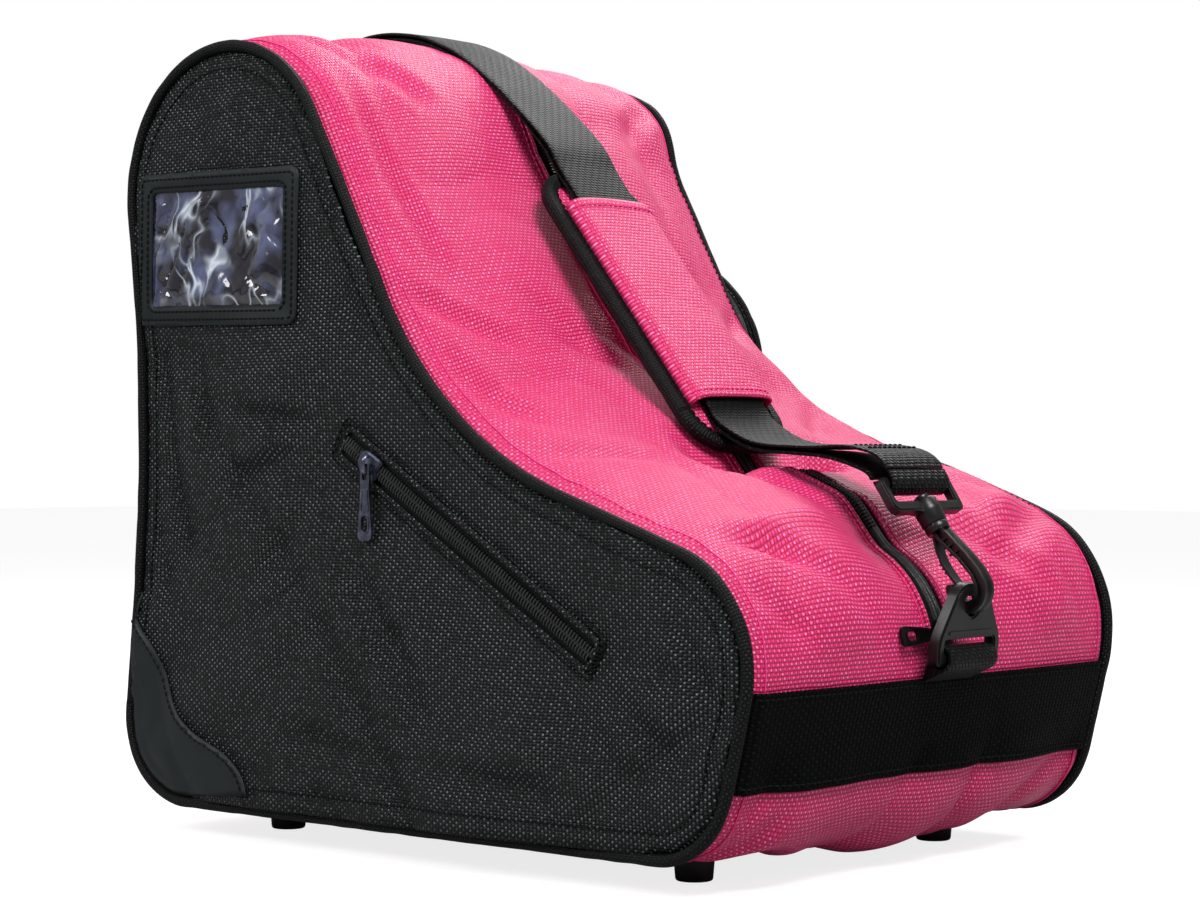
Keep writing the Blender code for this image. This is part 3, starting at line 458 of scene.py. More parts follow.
def bowl(loops):
    """Closed loops joined one to the next, with the last one filled."""
    count = len(loops[0])
    points = np.array(loops).reshape(-1, 3)
    faces = grid_faces(len(loops), count, close_columns=True)
    faces.append(tuple(range((len(loops) - 1) * count, len(loops) * count)))
    return points, faces


def capped_faces(rows, columns):
    """A tube of closed rings with both ends filled."""
    faces = grid_faces(rows, columns, close_columns=True)
    faces.append(tuple(range(columns)))
    faces.append(tuple(reversed(range((rows - 1) * columns, rows * columns))))
    return faces


class Parts:
    """Gathers several closed bodies into one mesh."""

    def __init__(self):
        self.points, self.faces, self.cloth, self.count = [], [], [], 0

    def add(self, points, faces, cloth=None):
        points = np.asarray(points, float).reshape(-1, 3)
        self.points.append(points)
        self.faces += [tuple(i + self.count for i in f) for f in facing_out(points, faces)]
        self.cloth.append(points if cloth is None else np.asarray(cloth, float).reshape(-1, 3))
        self.count += len(points)

    def plate(self, *shape):
        self.add(*plate_body(*shape))

    def tube(self, line, radius, **shape):
        self.add(*tube_body(line, radius, **shape))

    def put(self, name, finish, nodes=(), **kept):
        points = np.concatenate(self.points)
        return put(name, points, self.faces, finish, nodes, cloth=np.concatenate(self.cloth), **kept)


def fill_plane(outline, holes=(), inside=()):
    """Triangles over a flat outline with holes and extra points inside. It returns 2-D points and faces."""
    points, edges = [], []
    for line in (outline, *holes):
        first = len(points)
        count = len(line)
        points += [Vector(p) for p in line]
        edges += [(first + k, first + (k + 1) % count) for k in range(count)]
    points += [Vector(p) for p in inside]
    made = delaunay_2d_cdt(points, edges, [], 0, 1e-7)
    flat = np.array([tuple(p) for p in made[0]])
    faces = np.array([tuple(f) for f in made[2]])
    x, z = flat[faces].mean(1).T
    kept = crossing(np.array(outline), x, z)
    for hole in holes:
        kept &= ~crossing(np.array(hole), x, z)
    return flat, [tuple(int(i) for i in f) for f in faces[kept]]


def arc(centre, radius, start, end, steps):
    angles = np.linspace(start, end, steps + 1)
    return [(centre[0] + radius * cos(a), centre[1] + radius * sin(a)) for a in angles]


def rounded_box(centre, size, radius, steps=5):
    outline = []
    for side_u, side_v, start in ((1, -1, -90), (1, 1, 0), (-1, 1, 90), (-1, -1, 180)):
        middle = (centre[0] + side_u * (size[0] / 2 - radius), centre[1] + side_v * (size[1] / 2 - radius))
        outline += arc(middle, radius, radians(start), radians(start + 90), steps)
    return outline


def rounded(corners, radius, steps=4):
    """A closed outline through the corners, each one rounded. radius is one number, or one for each."""
    outline = []
    count = len(corners)
    radii = [radius] * count if isinstance(radius, float) else radius
    for k in range(count):
        p = np.array(corners[k], float)
        before = np.array(corners[k - 1], float) - p
        after = np.array(corners[(k + 1) % count], float) - p
        reach = min(radii[k], 0.45 * np.linalg.norm(before), 0.45 * np.linalg.norm(after))
        a = p + before / np.linalg.norm(before) * reach
        b = p + after / np.linalg.norm(after) * reach
        for t in np.linspace(0, 1, steps + 1):
            outline.append(tuple((1 - t) ** 2 * a + 2 * t * (1 - t) * p + t**2 * b))
    return outline


def plate_body(outline, holes, place, low, high):
    """A flat plate with holes, between two depths. place(u, v, depth) gives the point."""
    flat, faces = fill_plane(outline, holes)
    count = len(flat)
    points = [place(u, v, low) for u, v in flat] + [place(u, v, high) for u, v in flat]
    edges = {}
    for f in faces:
        for a, b in zip(f, f[1:] + f[:1]):
            edges[(a, b)] = edges.get((a, b), 0) + 1
    walls = [(a, b, b + count, a + count) for a, b in edges if (b, a) not in edges]
    body = [tuple(reversed(f)) for f in faces] + [tuple(i + count for i in f) for f in faces] + walls
    return np.array([tuple(p) for p in points]), body


def unit(vectors):
    return vectors / np.linalg.norm(vectors, axis=-1)[..., None]


def run_along(points):
    """The distance along a line from its first point to each of its points."""
    return np.concatenate([[0], np.cumsum(np.linalg.norm(np.diff(points, axis=0), axis=1))])


def path_normals(line):
    """Unit normals of a 2-D path, to the left of its direction."""
    step = np.gradient(line, axis=0)
    return unit(np.stack([-step[:, 1], step[:, 0]], 1))


def shrunk(line, inset):
    """A closed outline moved inwards, whichever way round it runs."""
    p = np.array(line, float)
    step = unit(np.roll(p, -1, 0) - np.roll(p, 1, 0))
    area = (p[:, 0] * np.roll(p[:, 1], -1) - p[:, 1] * np.roll(p[:, 0], -1)).sum()
    inward = np.stack([-step[:, 1], step[:, 0]], 1) * (1 if area > 0 else -1)
    return [tuple(q) for q in p + inward * inset]


def lathe_points(profile, place, sides):
    """Points of (radius, height) pairs turned round an axis, with place(u, v, height) giving each one."""
    turn = [2 * pi * k / sides for k in range(sides)]
    return np.array([tuple(place(r * cos(a), r * sin(a), h)) for r, h in profile for a in turn])


def turned_body(profile, place, sides=28):
    """A solid of revolution with flat ends."""
    return lathe_points(profile, place, sides), capped_faces(len(profile), sides)


def turned_ring(profile, place, sides=32):
    """A solid of revolution with a hole through it."""
    return lathe_points(profile, place, sides), grid_faces(len(profile), sides, True, True)


def tube_body(line, radius, sides=8, closed=False, flat=1.0, up=(0, 1, 0)):
    """A tube along 3-D points. radius is one number or one for each point."""
    line = np.asarray(line, float)
    count = len(line)
    radius = np.broadcast_to(radius, count)
    along = unit(np.roll(line, -1, 0) - np.roll(line, 1, 0) if closed else np.gradient(line, axis=0))
    side = unit(np.cross(along, np.broadcast_to(np.asarray(up, float), line.shape)))
    over = np.cross(side, along)
    turn = 2 * pi * np.arange(sides) / sides
    ring = side[:, None] * np.cos(turn)[:, None] + over[:, None] * np.sin(turn)[:, None] * flat
    points = (line[:, None] + ring * radius[:, None, None]).reshape(-1, 3)
    around = np.tile(turn * radius.mean(), count)
    cloth = np.stack([np.repeat(run_along(line), sides), around, np.zeros(count * sides)], 1)
    faces = grid_faces(count, sides, True, True) if closed else capped_faces(count, sides)
    return points, faces, cloth


def even_line(points, step):
    """The same line with points this far apart."""
    points = np.asarray(points, float)
    run = run_along(points)
    count = max(2, int(round(run[-1] / step)) + 1)
    at = np.linspace(0, run[-1], count)
    return np.stack([np.interp(at, run, points[:, k]) for k in range(points.shape[1])], 1)


def closed_line(points):
    """The outline with its first point again at the end."""
    points = np.array(points)
    return np.vstack([points, points[:1]])


def dense_ring(points, step):
    return [tuple(p) for p in even_line(closed_line(points), step)[:-1]]


def stitch_row(
    name, line, up, finish=BLACK_THREAD, slot=None, body="bag", pitch=0.0033, radius=0.00036, joined=None
):
    """A row of lock stitches on a line. up is the surface's outward direction, one or one for each point."""
    line = np.asarray(line, float)
    up = np.broadcast_to(np.asarray(up, float), line.shape)
    both = even_line(np.concatenate([line, up], 1), pitch / 6)
    rise = np.array([-0.9, 0.35, 0.75, 0.75, 0.35, -0.9]) * radius
    swell = np.array([0.55, 1.0, 1.1, 1.1, 1.0, 0.55]) * radius
    parts = Parts()
    for start in range(0, len(both) - 6, 6):
        chosen = both[start : start + 6]
        out = unit(chosen[:, 3:])
        spine = chosen[:, :3] + out * rise[:, None]
        parts.tube(spine, swell, sides=6, up=out[2] + (1e-4, 0, 2e-4))
    return parts.put(name, finish, body=body, slot=slot, joined=joined)


def soft_noise(u, v, seed):
    """Smooth noise from -1 to 1 with a lattice one unit wide."""
    table = np.random.RandomState(seed).uniform(-1, 1, (64, 64))
    i, j = np.floor(u).astype(int), np.floor(v).astype(int)
    f, g = u - i, v - j
    f, g = f * f * f * (f * (f * 6 - 15) + 10), g * g * g * (g * (g * 6 - 15) + 10)
    a, b = table[i % 64, j % 64], table[(i + 1) % 64, j % 64]
    c, d = table[i % 64, (j + 1) % 64], table[(i + 1) % 64, (j + 1) % 64]
    return (a * (1 - f) + b * f) * (1 - g) + (c * (1 - f) + d * f) * g


def folds(u, v, length, width, angle, seed):
    """Long soft folds: noise stretched along one direction, with rounded ridges and sharper valleys."""
    a = u * cos(angle) + v * sin(angle)
    b = -u * sin(angle) + v * cos(angle)
    bend = 0.35 * soft_noise(a / length / 1.7, b / width / 3.0, seed + 7)
    n = soft_noise(a / length, b / width + bend, seed)
    return np.abs(n) ** 0.8 * 1.6 - 0.5


def smooth_step(value, low, high):
    t = np.clip((value - low) / (high - low), 0.0, 1.0)
    return t * t * (3 - 2 * t)


def crease(u, v, start, end, width, depth):
    """One crease along a segment, with a low shoulder on each side, fading out towards its ends."""
    start, end = np.array(start, float), np.array(end, float)
    along = end - start
    length = np.linalg.norm(along)
    along = along / length
    t = ((u - start[0]) * along[0] + (v - start[1]) * along[1]) / length
    across = (-(u - start[0]) * along[1] + (v - start[1]) * along[0]) / width
    fade = smooth_step(t, -0.15, 0.3) * (1 - smooth_step(t, 0.65, 1.15))
    return -depth * fade * (1 - 0.9 * across**2) * np.exp(-(across**2))


# ---------------------------------------------------------------- the side outline
def belt_headings():
    leaving = []
    for (ax, az, ar), (bx, bz, br) in zip(OUTLINE_CIRCLES, OUTLINE_CIRCLES[1:] + OUTLINE_CIRCLES[:1]):
        straight = atan2(bz - az, bx - ax)
        leaving.append(straight + asin((ar - br) / hypot(bx - ax, bz - az)))
    headings = []
    for k, (_, _, radius) in enumerate(OUTLINE_CIRCLES):
        start = leaving[k - 1]
        if radius > 0:
            end = start + (leaving[k] - start) % (2 * pi)
        else:
            end = start - (start - leaving[k]) % (2 * pi)
        headings.append((start, end))
    return headings


def belt():
    """Even points round the side outline: run, x, z and the outward direction, starting under the heel."""
    rows = []
    for (x, z, radius), (start, end) in zip(OUTLINE_CIRCLES, belt_headings()):
        for heading in np.linspace(start, end, max(3, int(abs((end - start) * radius) / 0.002))):
            rows.append((x + radius * sin(heading), z - radius * cos(heading), sin(heading), -cos(heading)))
    rows.append(rows[0])
    rows = np.array(rows)
    return np.column_stack([run_along(rows[:, :2]), rows])


BELT = belt()
AROUND = BELT[-1, 0]


def rim(run, inset=0.0):
    """Points (x, z) and outward directions at these runs round the outline."""
    at = np.asarray(run, float) % AROUND
    x, z, nx, nz = (np.interp(at, BELT[:, 0], BELT[:, k]) for k in (1, 2, 3, 4))
    return x - nx * inset, z - nz * inset, nx, nz


def run_at(z, end):
    """The run where the outline crosses height z at its toe end (1) or heel end (-1)."""
    for k in range(len(BELT) - 1):
        (_, ax, az, _, _), (_, _, bz, _, _) = BELT[k], BELT[k + 1]
        if (az - z) * (bz - z) <= 0 and az != bz and ax * end > 0.1:
            return BELT[k, 0] + (BELT[k + 1, 0] - BELT[k, 0]) * (z - az) / (bz - az)
    raise ValueError("the outline doesn't reach that height")


def wrapped(gap):
    """The shorter way round the outline for this difference of runs."""
    return (gap + AROUND / 2) % AROUND - AROUND / 2


def nearest_run(x, z):
    return BELT[np.argmin(np.hypot(BELT[:, 1] - x, BELT[:, 2] - z)), 0]


ZIP_TOE = run_at(0.0900, 1)
ZIP_HEEL = run_at(0.2300, -1)
TOE_BAND = (run_at(0.0400, 1), run_at(0.0785, 1))
HEEL_BAND = (run_at(0.0785, -1), run_at(0.0785, -1) + (run_at(0.0400, -1) - run_at(0.0785, -1)) % AROUND)


# ---------------------------------------------------------------- the gusset
CROWN_MARKS = (
    # (x, z) on the outline, and how far the gusset's middle stands off the side seams there
    (-0.1400, 0.0110, 0.0022),
    (0.0, 0.0110, 0.0030),
    (0.0900, 0.0110, 0.0048),
    (0.1600, 0.0200, 0.0040),
    (0.1730, 0.0400, 0.0012),
    (0.1790, 0.0780, 0.0008),
    (0.1800, 0.0900, 0.0018),
    (0.1700, 0.1170, 0.0066),
    (0.1550, 0.1282, 0.0095),
    (0.1310, 0.1345, 0.0145),
    (0.0700, 0.1568, 0.0175),
    (0.0000, 0.2122, 0.0185),
    (-0.0430, 0.2899, 0.0120),
    (-0.0860, 0.3393, 0.0095),
    (-0.1240, 0.3445, 0.0072),
    (-0.1600, 0.3284, 0.0058),
    (-0.1785, 0.2850, 0.0036),
    (-0.1705, 0.1800, 0.0026),
    (-0.1765, 0.0900, 0.0012),
    (-0.1790, 0.0450, 0.0010),
    (-0.1700, 0.0250, 0.0018),
)


def crown_height(run):
    """How far the middle of the gusset stands off the side seams' outline."""
    marks = sorted((nearest_run(x, z), rise) for x, z, rise in CROWN_MARKS)
    at = [marks[-1][0] - AROUND, *(m[0] for m in marks), marks[0][0] + AROUND]
    rises = [marks[-1][1], *(m[1] for m in marks), marks[0][1]]
    return np.interp(np.asarray(run) % AROUND, at, rises)


def near_landmark(run, x, z, reach):
    """1 at a place of the outline, falling to 0 at this distance along it."""
    gap = np.abs(wrapped(np.asarray(run) - nearest_run(x, z)))
    return 1 - smooth_step(gap, reach * 0.4, reach)


CREASE_DEPTH = 1.5
GUSSET_CREASES = (
    # (x, z) and y where a crease starts and ends, its width and its depth
    (-0.062, 0.323, -0.100, -0.030, 0.268, -0.088, 0.0055, 0.0022),
    (-0.075, 0.334, -0.078, -0.045, 0.300, -0.062, 0.0065, 0.0020),
    (-0.100, 0.344, -0.096, -0.066, 0.326, -0.082, 0.0060, 0.0016),
    (-0.020, 0.249, -0.112, 0.010, 0.203, -0.070, 0.0060, 0.0022),
    (0.004, 0.208, -0.112, 0.050, 0.167, -0.086, 0.0070, 0.0020),
    (-0.010, 0.228, -0.060, 0.026, 0.186, -0.020, 0.0080, 0.0018),
    (0.060, 0.160, -0.108, 0.096, 0.149, -0.060, 0.0070, 0.0018),
    (0.085, 0.153, -0.040, 0.128, 0.140, -0.020, 0.0070, 0.0016),
    (0.120, 0.143, -0.106, 0.160, 0.124, -0.070, 0.0065, 0.0020),
    (0.146, 0.133, -0.094, 0.173, 0.108, -0.052, 0.0065, 0.0018),
    (0.166, 0.119, -0.110, 0.178, 0.092, -0.084, 0.0060, 0.0015),
    (0.130, 0.139, 0.108, 0.168, 0.118, 0.052, 0.0080, 0.0026),
    (0.150, 0.130, 0.040, 0.174, 0.107, 0.078, 0.0070, 0.0020),
    (0.100, 0.148, 0.112, 0.132, 0.138, 0.060, 0.0075, 0.0022),
    (0.030, 0.182, 0.104, 0.066, 0.158, 0.060, 0.0080, 0.0020),
    (-0.030, 0.268, 0.110, 0.000, 0.214, 0.082, 0.0070, 0.0022),
    (-0.070, 0.330, 0.106, -0.040, 0.286, 0.070, 0.0070, 0.0022),
    (-0.150, 0.335, -0.080, -0.176, 0.300, -0.060, 0.0070, 0.0018),
    (-0.174, 0.250, -0.100, -0.171, 0.180, -0.070, 0.0070, 0.0016),
    (-0.172, 0.220, 0.090, -0.172, 0.150, 0.060, 0.0070, 0.0016),
    (0.060, 0.012, -0.112, 0.126, 0.012, -0.090, 0.0070, 0.0020),
    (0.146, 0.015, -0.108, 0.168, 0.033, -0.086, 0.0055, 0.0014),
    (0.150, 0.017, 0.060, 0.170, 0.036, 0.100, 0.0060, 0.0016),
)


def gusset_waves(run, y):
    """The broad waves and small dents of the loose cloth."""
    broad = folds(run, y, 0.110, 0.044, 0.25, 11) * 0.0027 + folds(run, y, 0.070, 0.032, -0.5, 23) * 0.0015
    return broad + soft_noise(run / 0.019, y / 0.021, 5) * 0.00028


def meeting_waves(run, y):
    """The same waves, eased so that they meet where the run round the outline starts again."""
    at = run % AROUND
    share = smooth_step(at, AROUND - 0.040, AROUND)
    return gusset_waves(at, y) * (1 - share) + gusset_waves(at - AROUND, y) * share


FAR_MARKS = (
    # (x, z) on the outline, and how far the far side's seam is drawn in there
    (0.1785, 0.0820, 0.0),
    (0.1700, 0.1160, -0.0060),
    (0.1480, 0.1310, -0.0105),
    (0.0900, 0.1480, -0.0125),
    (0.0480, 0.1680, -0.0060),
    (-0.0040, 0.2180, 0.0085),
    (-0.0180, 0.2440, 0.0110),
    (-0.0400, 0.2850, 0.0105),
    (-0.0720, 0.3290, 0.0),
)


def far_tuck(run):
    """How far the far seam is drawn in from the outline: out over the toe, and in up the dome's front."""
    at = np.asarray(run, float) % AROUND
    runs = [nearest_run(x, z) for x, z, _ in FAR_MARKS]
    depths = [depth for _, _, depth in FAR_MARKS]
    shifts = (-0.012, -0.006, 0.0, 0.006, 0.012)
    return sum(np.interp(at + shift, runs, depths) for shift in shifts) / len(shifts)


def gusset_profile(run, y, at_toe):
    """The crown's share across the gusset: a dome, or two lobes either side of the zip at the toe."""
    share = np.clip(np.abs(y) / GUSSET_HALF, 0, 1)
    steep = 2.0 + 2.5 * smooth_step(y, -0.010, 0.060) * smooth_step(far_tuck(run), 0.0, 0.0060)
    dome = (1 - share**steep) ** 0.75
    lobes = np.sin(pi * np.clip((np.abs(y) - 0.012) / (GUSSET_HALF - 0.012), 0, 1)) ** 0.9
    return dome * (1 - at_toe) + lobes * at_toe


def gusset_calm(run, y, at_toe):
    """How free the cloth is to fold: 1 in the open, and little under the bands and beside the toe's zip."""
    at_bands = np.maximum(near_landmark(run, 0.1785, 0.060, 0.032), near_landmark(run, -0.1785, 0.060, 0.036))
    return 1 - 0.92 * np.maximum(at_bands, at_toe * (1 - smooth_step(np.abs(y), 0.010, 0.040)))


def gusset_creases(run, y):
    """The sharp creases, in runs that are unwrapped round each one's start."""
    total = 0.0
    for ax, az, ay, bx, bz, by, width, depth in GUSSET_CREASES:
        start = nearest_run(ax, az)
        end = start + wrapped(nearest_run(bx, bz) - start)
        nearer = start + wrapped(run - start)
        total = total + crease(nearer, y, (start, ay), (end, by), width * 1.15, depth * CREASE_DEPTH)
    return total


def gusset_rise(run, y):
    """How far the cloth stands off the gusset's nominal face."""
    run, y = np.asarray(run, float), np.asarray(y, float)
    inside = GUSSET_HALF - np.abs(y)
    edge = smooth_step(inside, 0.0, 0.014)
    at_toe = near_landmark(run, 0.1715, 0.1134, 0.052)
    calm = gusset_calm(run, y, at_toe)
    pucker = soft_noise(run % AROUND / 0.0085, y / 0.030, 9) * 0.00045
    pucker = pucker * (1 - smooth_step(inside, 0.004, 0.028))
    total = crown_height(run) * gusset_profile(run, y, at_toe)
    total = total + meeting_waves(run, y) * edge * calm + pucker * calm
    total = total - far_tuck(run) * smooth_step(y, 0.020, GUSSET_HALF) + gusset_creases(run, y) * edge * calm
    for foot_x, foot_y in FEET:
        around = np.hypot(wrapped(run - nearest_run(foot_x, 0.011)), y - foot_y)
        total = total * smooth_step(around, 0.009, 0.030)
    tuck = 0.0022 * (1 - smooth_step(inside, -0.001, 0.0045))
    return pressed_by_pad(run, y, total - tuck)


def pressed_by_pad(run, y, rise):
    """The cloth gives way under the shoulder pad, over the whole of its slide."""
    x, z, nx, nz = rim(run, GUSSET_INSET)
    over, down = x - PAD_START[0], z - PAD_START[1]
    slope_cos, slope_sin = cos(PAD_SLOPE), sin(PAD_SLOPE)
    along = over * slope_cos - down * slope_sin
    gap = -PAD_UNDER - (over * slope_sin + down * slope_cos)
    towards = np.maximum(nx * slope_sin + nz * slope_cos, 0.3)
    inside = smooth_step(along, -0.062, -0.034) * (1 - smooth_step(along, 0.146, 0.166))
    inside = inside * (1 - smooth_step(np.abs(y), PAD_HALF, PAD_HALF + 0.018))
    return rise - inside * np.maximum(rise - gap / towards, 0.0)


def on_gusset(run, y, height=0.0):
    """Points on the gusset's cloth, raised by height, and the outward directions."""
    run, y = np.broadcast_arrays(np.asarray(run, float), np.asarray(y, float))
    x, z, nx, nz = rim(run, GUSSET_INSET)
    rise = gusset_rise(run, y) + height
    points = np.stack([x + nx * rise, y, z + nz * rise], -1)
    return points, np.stack([nx, np.zeros_like(nx), nz], -1)


def gusset_strip(name, runs, ys, nodes, height=0.0):
    """A strip of pink cloth on the gusset, over a grid of runs and y."""
    sheet(name, runs, ys, lambda run, y: on_gusset(run, y, height), PINK, nodes, CLOTH)


def steps(start, end, step):
    return np.linspace(start, end, max(2, int(round(abs(end - start) / step)) + 1))


def gusset():
    edge = GUSSET_HALF + 0.0006
    tongue_half = ZIP_HALF + 0.0010
    under_band = run_at(0.0700, 1)
    upper = steps(under_band, ZIP_HEEL, 0.0024)
    lower = steps(ZIP_HEEL - 0.0030, under_band + AROUND, 0.0024)
    tongue = steps(under_band, ZIP_TOE, 0.0024)
    gusset_strip("gusset_near_cloth", upper, steps(-edge, -ZIP_HALF, 0.0024), "gusset_upper_near")
    gusset_strip("gusset_far_cloth", upper, steps(ZIP_HALF, edge, 0.0024), "gusset_upper_far")
    gusset_strip("gusset_bottom_cloth", lower, steps(-edge, edge, 0.0024), "gusset_bottom", -0.0003)
    gusset_strip("gusset_toe_tongue", tongue, steps(-tongue_half, tongue_half, 0.0024), (), -0.0003)


def hem_roll(name, y, runs):
    """The gusset's folded edge beside the main zip, a soft roll with its topstitching."""
    parts = Parts()
    parts.tube(on_gusset(runs, y, 0.0002)[0], 0.0011)
    parts.put(name, PINK)
    side = 1 if y > 0 else -1
    line, up = on_gusset(runs, y + side * 0.0030, 0.0001)
    stitch_row(name + "_stitches", line, up, PINK_THREAD)


def gusset_trim():
    upper = steps(ZIP_TOE + 0.001, ZIP_HEEL - 0.001, 0.0024)
    hem_roll("zip_hem_near", -ZIP_HALF, upper)
    hem_roll("zip_hem_far", ZIP_HALF, upper)
    whole = steps(0, AROUND, 0.002)[:-1]
    for name, y in (("near", -GUSSET_HALF + 0.0062), ("far", GUSSET_HALF - 0.0062)):
        line, up = on_gusset(whole, y, 0.0001)
        stitch_row(f"gusset_seam_stitches_{name}", line, up, PINK_THREAD)
    across = steps(-GUSSET_HALF + 0.0070, GUSSET_HALF - 0.0070, 0.002)
    line, up = on_gusset(np.full_like(across, ZIP_HEEL - 0.0026), across, 0.0001)
    stitch_row("gusset_heel_stitches", line, up, PINK_THREAD)


def bands():
    """Webbing sewn across the toe and the heel, with its selvage and two rows of stitches."""
    edge = GUSSET_HALF + 0.0004
    for name, (start, end) in (("toe", TOE_BAND), ("heel", HEEL_BAND)):
        runs = steps(start, end, 0.0012)

        def on_band(run, y):
            off = np.abs((run - runs[0]) / (runs[-1] - runs[0]) - 0.5)
            lip = 0.0004 * np.exp(-(((off - 0.47) / 0.02) ** 2))
            sunk = -0.0003 * np.exp(-(((off - 0.435) / 0.015) ** 2))
            points, outward = on_gusset(run, y, 0.0019)
            return points + outward * (lip + sunk)[..., None], outward

        ys = steps(-edge, edge, 0.0024)
        sheet(f"{name}_band_webbing", runs, ys, on_band, BAND, f"{name}_band", 0.0017, along_v=True)
        ys = steps(-edge + 0.002, edge - 0.002, 0.002)
        for tag, at in (("low", runs[0] + 0.0026), ("high", runs[-1] - 0.0026)):
            line, up = on_gusset(np.full_like(ys, at), ys, 0.0018)
            stitch_row(f"{name}_band_stitches_{tag}", line, up, slot="webbing")


def piping(name, side, node):
    """A woven cover over a round cord, with a little unevenness."""
    runs = steps(0, AROUND, 0.0022)[:-1]
    wave = soft_noise(runs / 0.03, runs * 0, 41) * 0.0003
    drawn_in = far_tuck(runs) if side > 0 else 0.0
    x, z, _, _ = rim(runs, PIPING_RADIUS + drawn_in)
    line = np.stack([x, np.full_like(x, side * SEAM_Y) + wave, z], 1)
    size = PIPING_RADIUS * (1 + 0.05 * soft_noise(runs / 0.008, runs * 0, 43))
    points, faces, cloth = tube_body(line, size, sides=14, closed=True)
    put(name, points, faces, BINDING, node, cloth=cloth)


# ---------------------------------------------------------------- the side panels
def zip_axes():
    start, end = np.array(SIDE_ZIP_TOP), np.array(SIDE_ZIP_END)
    length = np.linalg.norm(end - start)
    along = (end - start) / length
    return start, along, np.array([-along[1], along[0]]), length


ZIP_START, ZIP_ALONG, ZIP_ACROSS, ZIP_LENGTH = zip_axes()


def on_side_zip(u, v):
    """(x, z) from a distance along the side zip and across it."""
    x, z = (ZIP_START[k] + ZIP_ALONG[k] * u + ZIP_ACROSS[k] * v for k in (0, 1))
    return x, z


def from_side_zip(x, z):
    """The distance along the side zip and across it."""
    over, up = x - ZIP_START[0], z - ZIP_START[1]
    return over * ZIP_ALONG[0] + up * ZIP_ALONG[1], over * ZIP_ACROSS[0] + up * ZIP_ACROSS[1]


def zip_corners(beyond, half):
    """The corners of a box along the side zip, longer than it by this much at each end."""
    far_end = ZIP_LENGTH + beyond
    return [(-beyond, -half), (far_end, -half), (far_end, half), (-beyond, half)]


NEAR_CREASES = (
    # start (x, z), end (x, z), width, depth
    (-0.040, 0.176, -0.108, 0.186, 0.0060, 0.0018),
    (-0.044, 0.170, -0.120, 0.150, 0.0065, 0.0017),
    (-0.036, 0.164, -0.086, 0.110, 0.0070, 0.0015),
    (-0.060, 0.214, -0.130, 0.205, 0.0070, 0.0015),
    (0.106, 0.088, 0.158, 0.082, 0.0060, 0.0013),
    (0.104, 0.082, 0.146, 0.050, 0.0065, 0.0014),
    (0.088, 0.092, 0.044, 0.052, 0.0085, 0.0013),
    (-0.156, 0.215, -0.140, 0.150, 0.0055, 0.0017),
    (-0.150, 0.170, -0.132, 0.120, 0.0060, 0.0016),
    (-0.128, 0.214, -0.114, 0.160, 0.0065, 0.0014),
    (-0.160, 0.140, -0.146, 0.095, 0.0055, 0.0012),
    (-0.030, 0.120, 0.020, 0.050, 0.0090, 0.0014),
    (0.010, 0.040, 0.090, 0.034, 0.0070, 0.0013),
    (-0.070, 0.050, 0.000, 0.036, 0.0080, 0.0013),
    (-0.140, 0.316, -0.096, 0.330, 0.0070, 0.0012),
    (-0.060, 0.300, -0.036, 0.256, 0.0070, 0.0014),
    (-0.040, 0.234, 0.000, 0.196, 0.0070, 0.0013),
    (0.140, 0.112, 0.166, 0.070, 0.0060, 0.0013),
)


def rim_distance(x, z):
    """How far inside the side outline each point is."""
    flat_x, flat_z = x.ravel(), z.ravel()
    marks = BELT[::2]
    found = np.full(len(flat_x), 1.0)
    for start in range(0, len(flat_x), 4000):
        part = slice(start, start + 4000)
        gap = np.hypot(flat_x[part, None] - marks[:, 1], flat_z[part, None] - marks[:, 2])
        found[part] = gap.min(1)
    return found.reshape(x.shape)


def near_features(x, z, total, away):
    """The near panel's creases, and the cloth held flat at the side zip and pushed out by the ID window."""
    for ax, az, bx, bz, width, depth in NEAR_CREASES:
        total = total + crease(x, z, (ax, az), (bx, bz), width * 1.1, depth * CREASE_DEPTH) * away
    u, v = from_side_zip(x, z)
    beyond = np.maximum(np.maximum(-u, u - ZIP_LENGTH), 0.0)
    from_zip = np.hypot(np.maximum(np.abs(v) - ZIP_HALF, 0.0), beyond)
    frame_gap = np.maximum(np.abs(x - ID_CENTRE[0]) - 0.050, np.abs(z - ID_CENTRE[1]) - 0.031)
    free = smooth_step(frame_gap, -0.004, 0.018)
    return total * smooth_step(from_zip, 0.002, 0.045) * free + 0.0012 * (1 - free)


def panel_rise(x, z, near):
    """How far a side panel stands out from its flat CAD face."""
    x, z = np.asarray(x, float), np.asarray(z, float)
    inside = rim_distance(x, z)
    seam = -0.0026 * (1 - smooth_step(inside, 0.0035, 0.0085))
    groove = -0.00045 * np.exp(-(((inside - 0.0125) / 0.0016) ** 2))
    away = smooth_step(inside, 0.006, 0.022)
    seed = 31 if near else 61
    broad = folds(x, z, 0.100, 0.036, -0.9, seed) * 0.0019 + folds(x, z, 0.064, 0.028, 0.6, seed + 2) * 0.0013
    small = soft_noise(x / 0.016, z / 0.018, seed + 4) * 0.00025
    pucker = soft_noise(x / 0.009, z / 0.009, seed + 6) * 0.00030 * (1 - smooth_step(inside, 0.010, 0.030))
    total = 0.0046 * smooth_step(inside, 0.006, 0.075) + (broad + small) * away + pucker
    if near:
        return near_features(x, z, total, away) + seam + groove
    gap = np.hypot(x - POCKET_X, np.maximum(0.0, np.abs(z - 0.16) - 0.04)) - POCKET_RADIUS
    return total * smooth_step(gap, -0.002, 0.030) + seam + groove


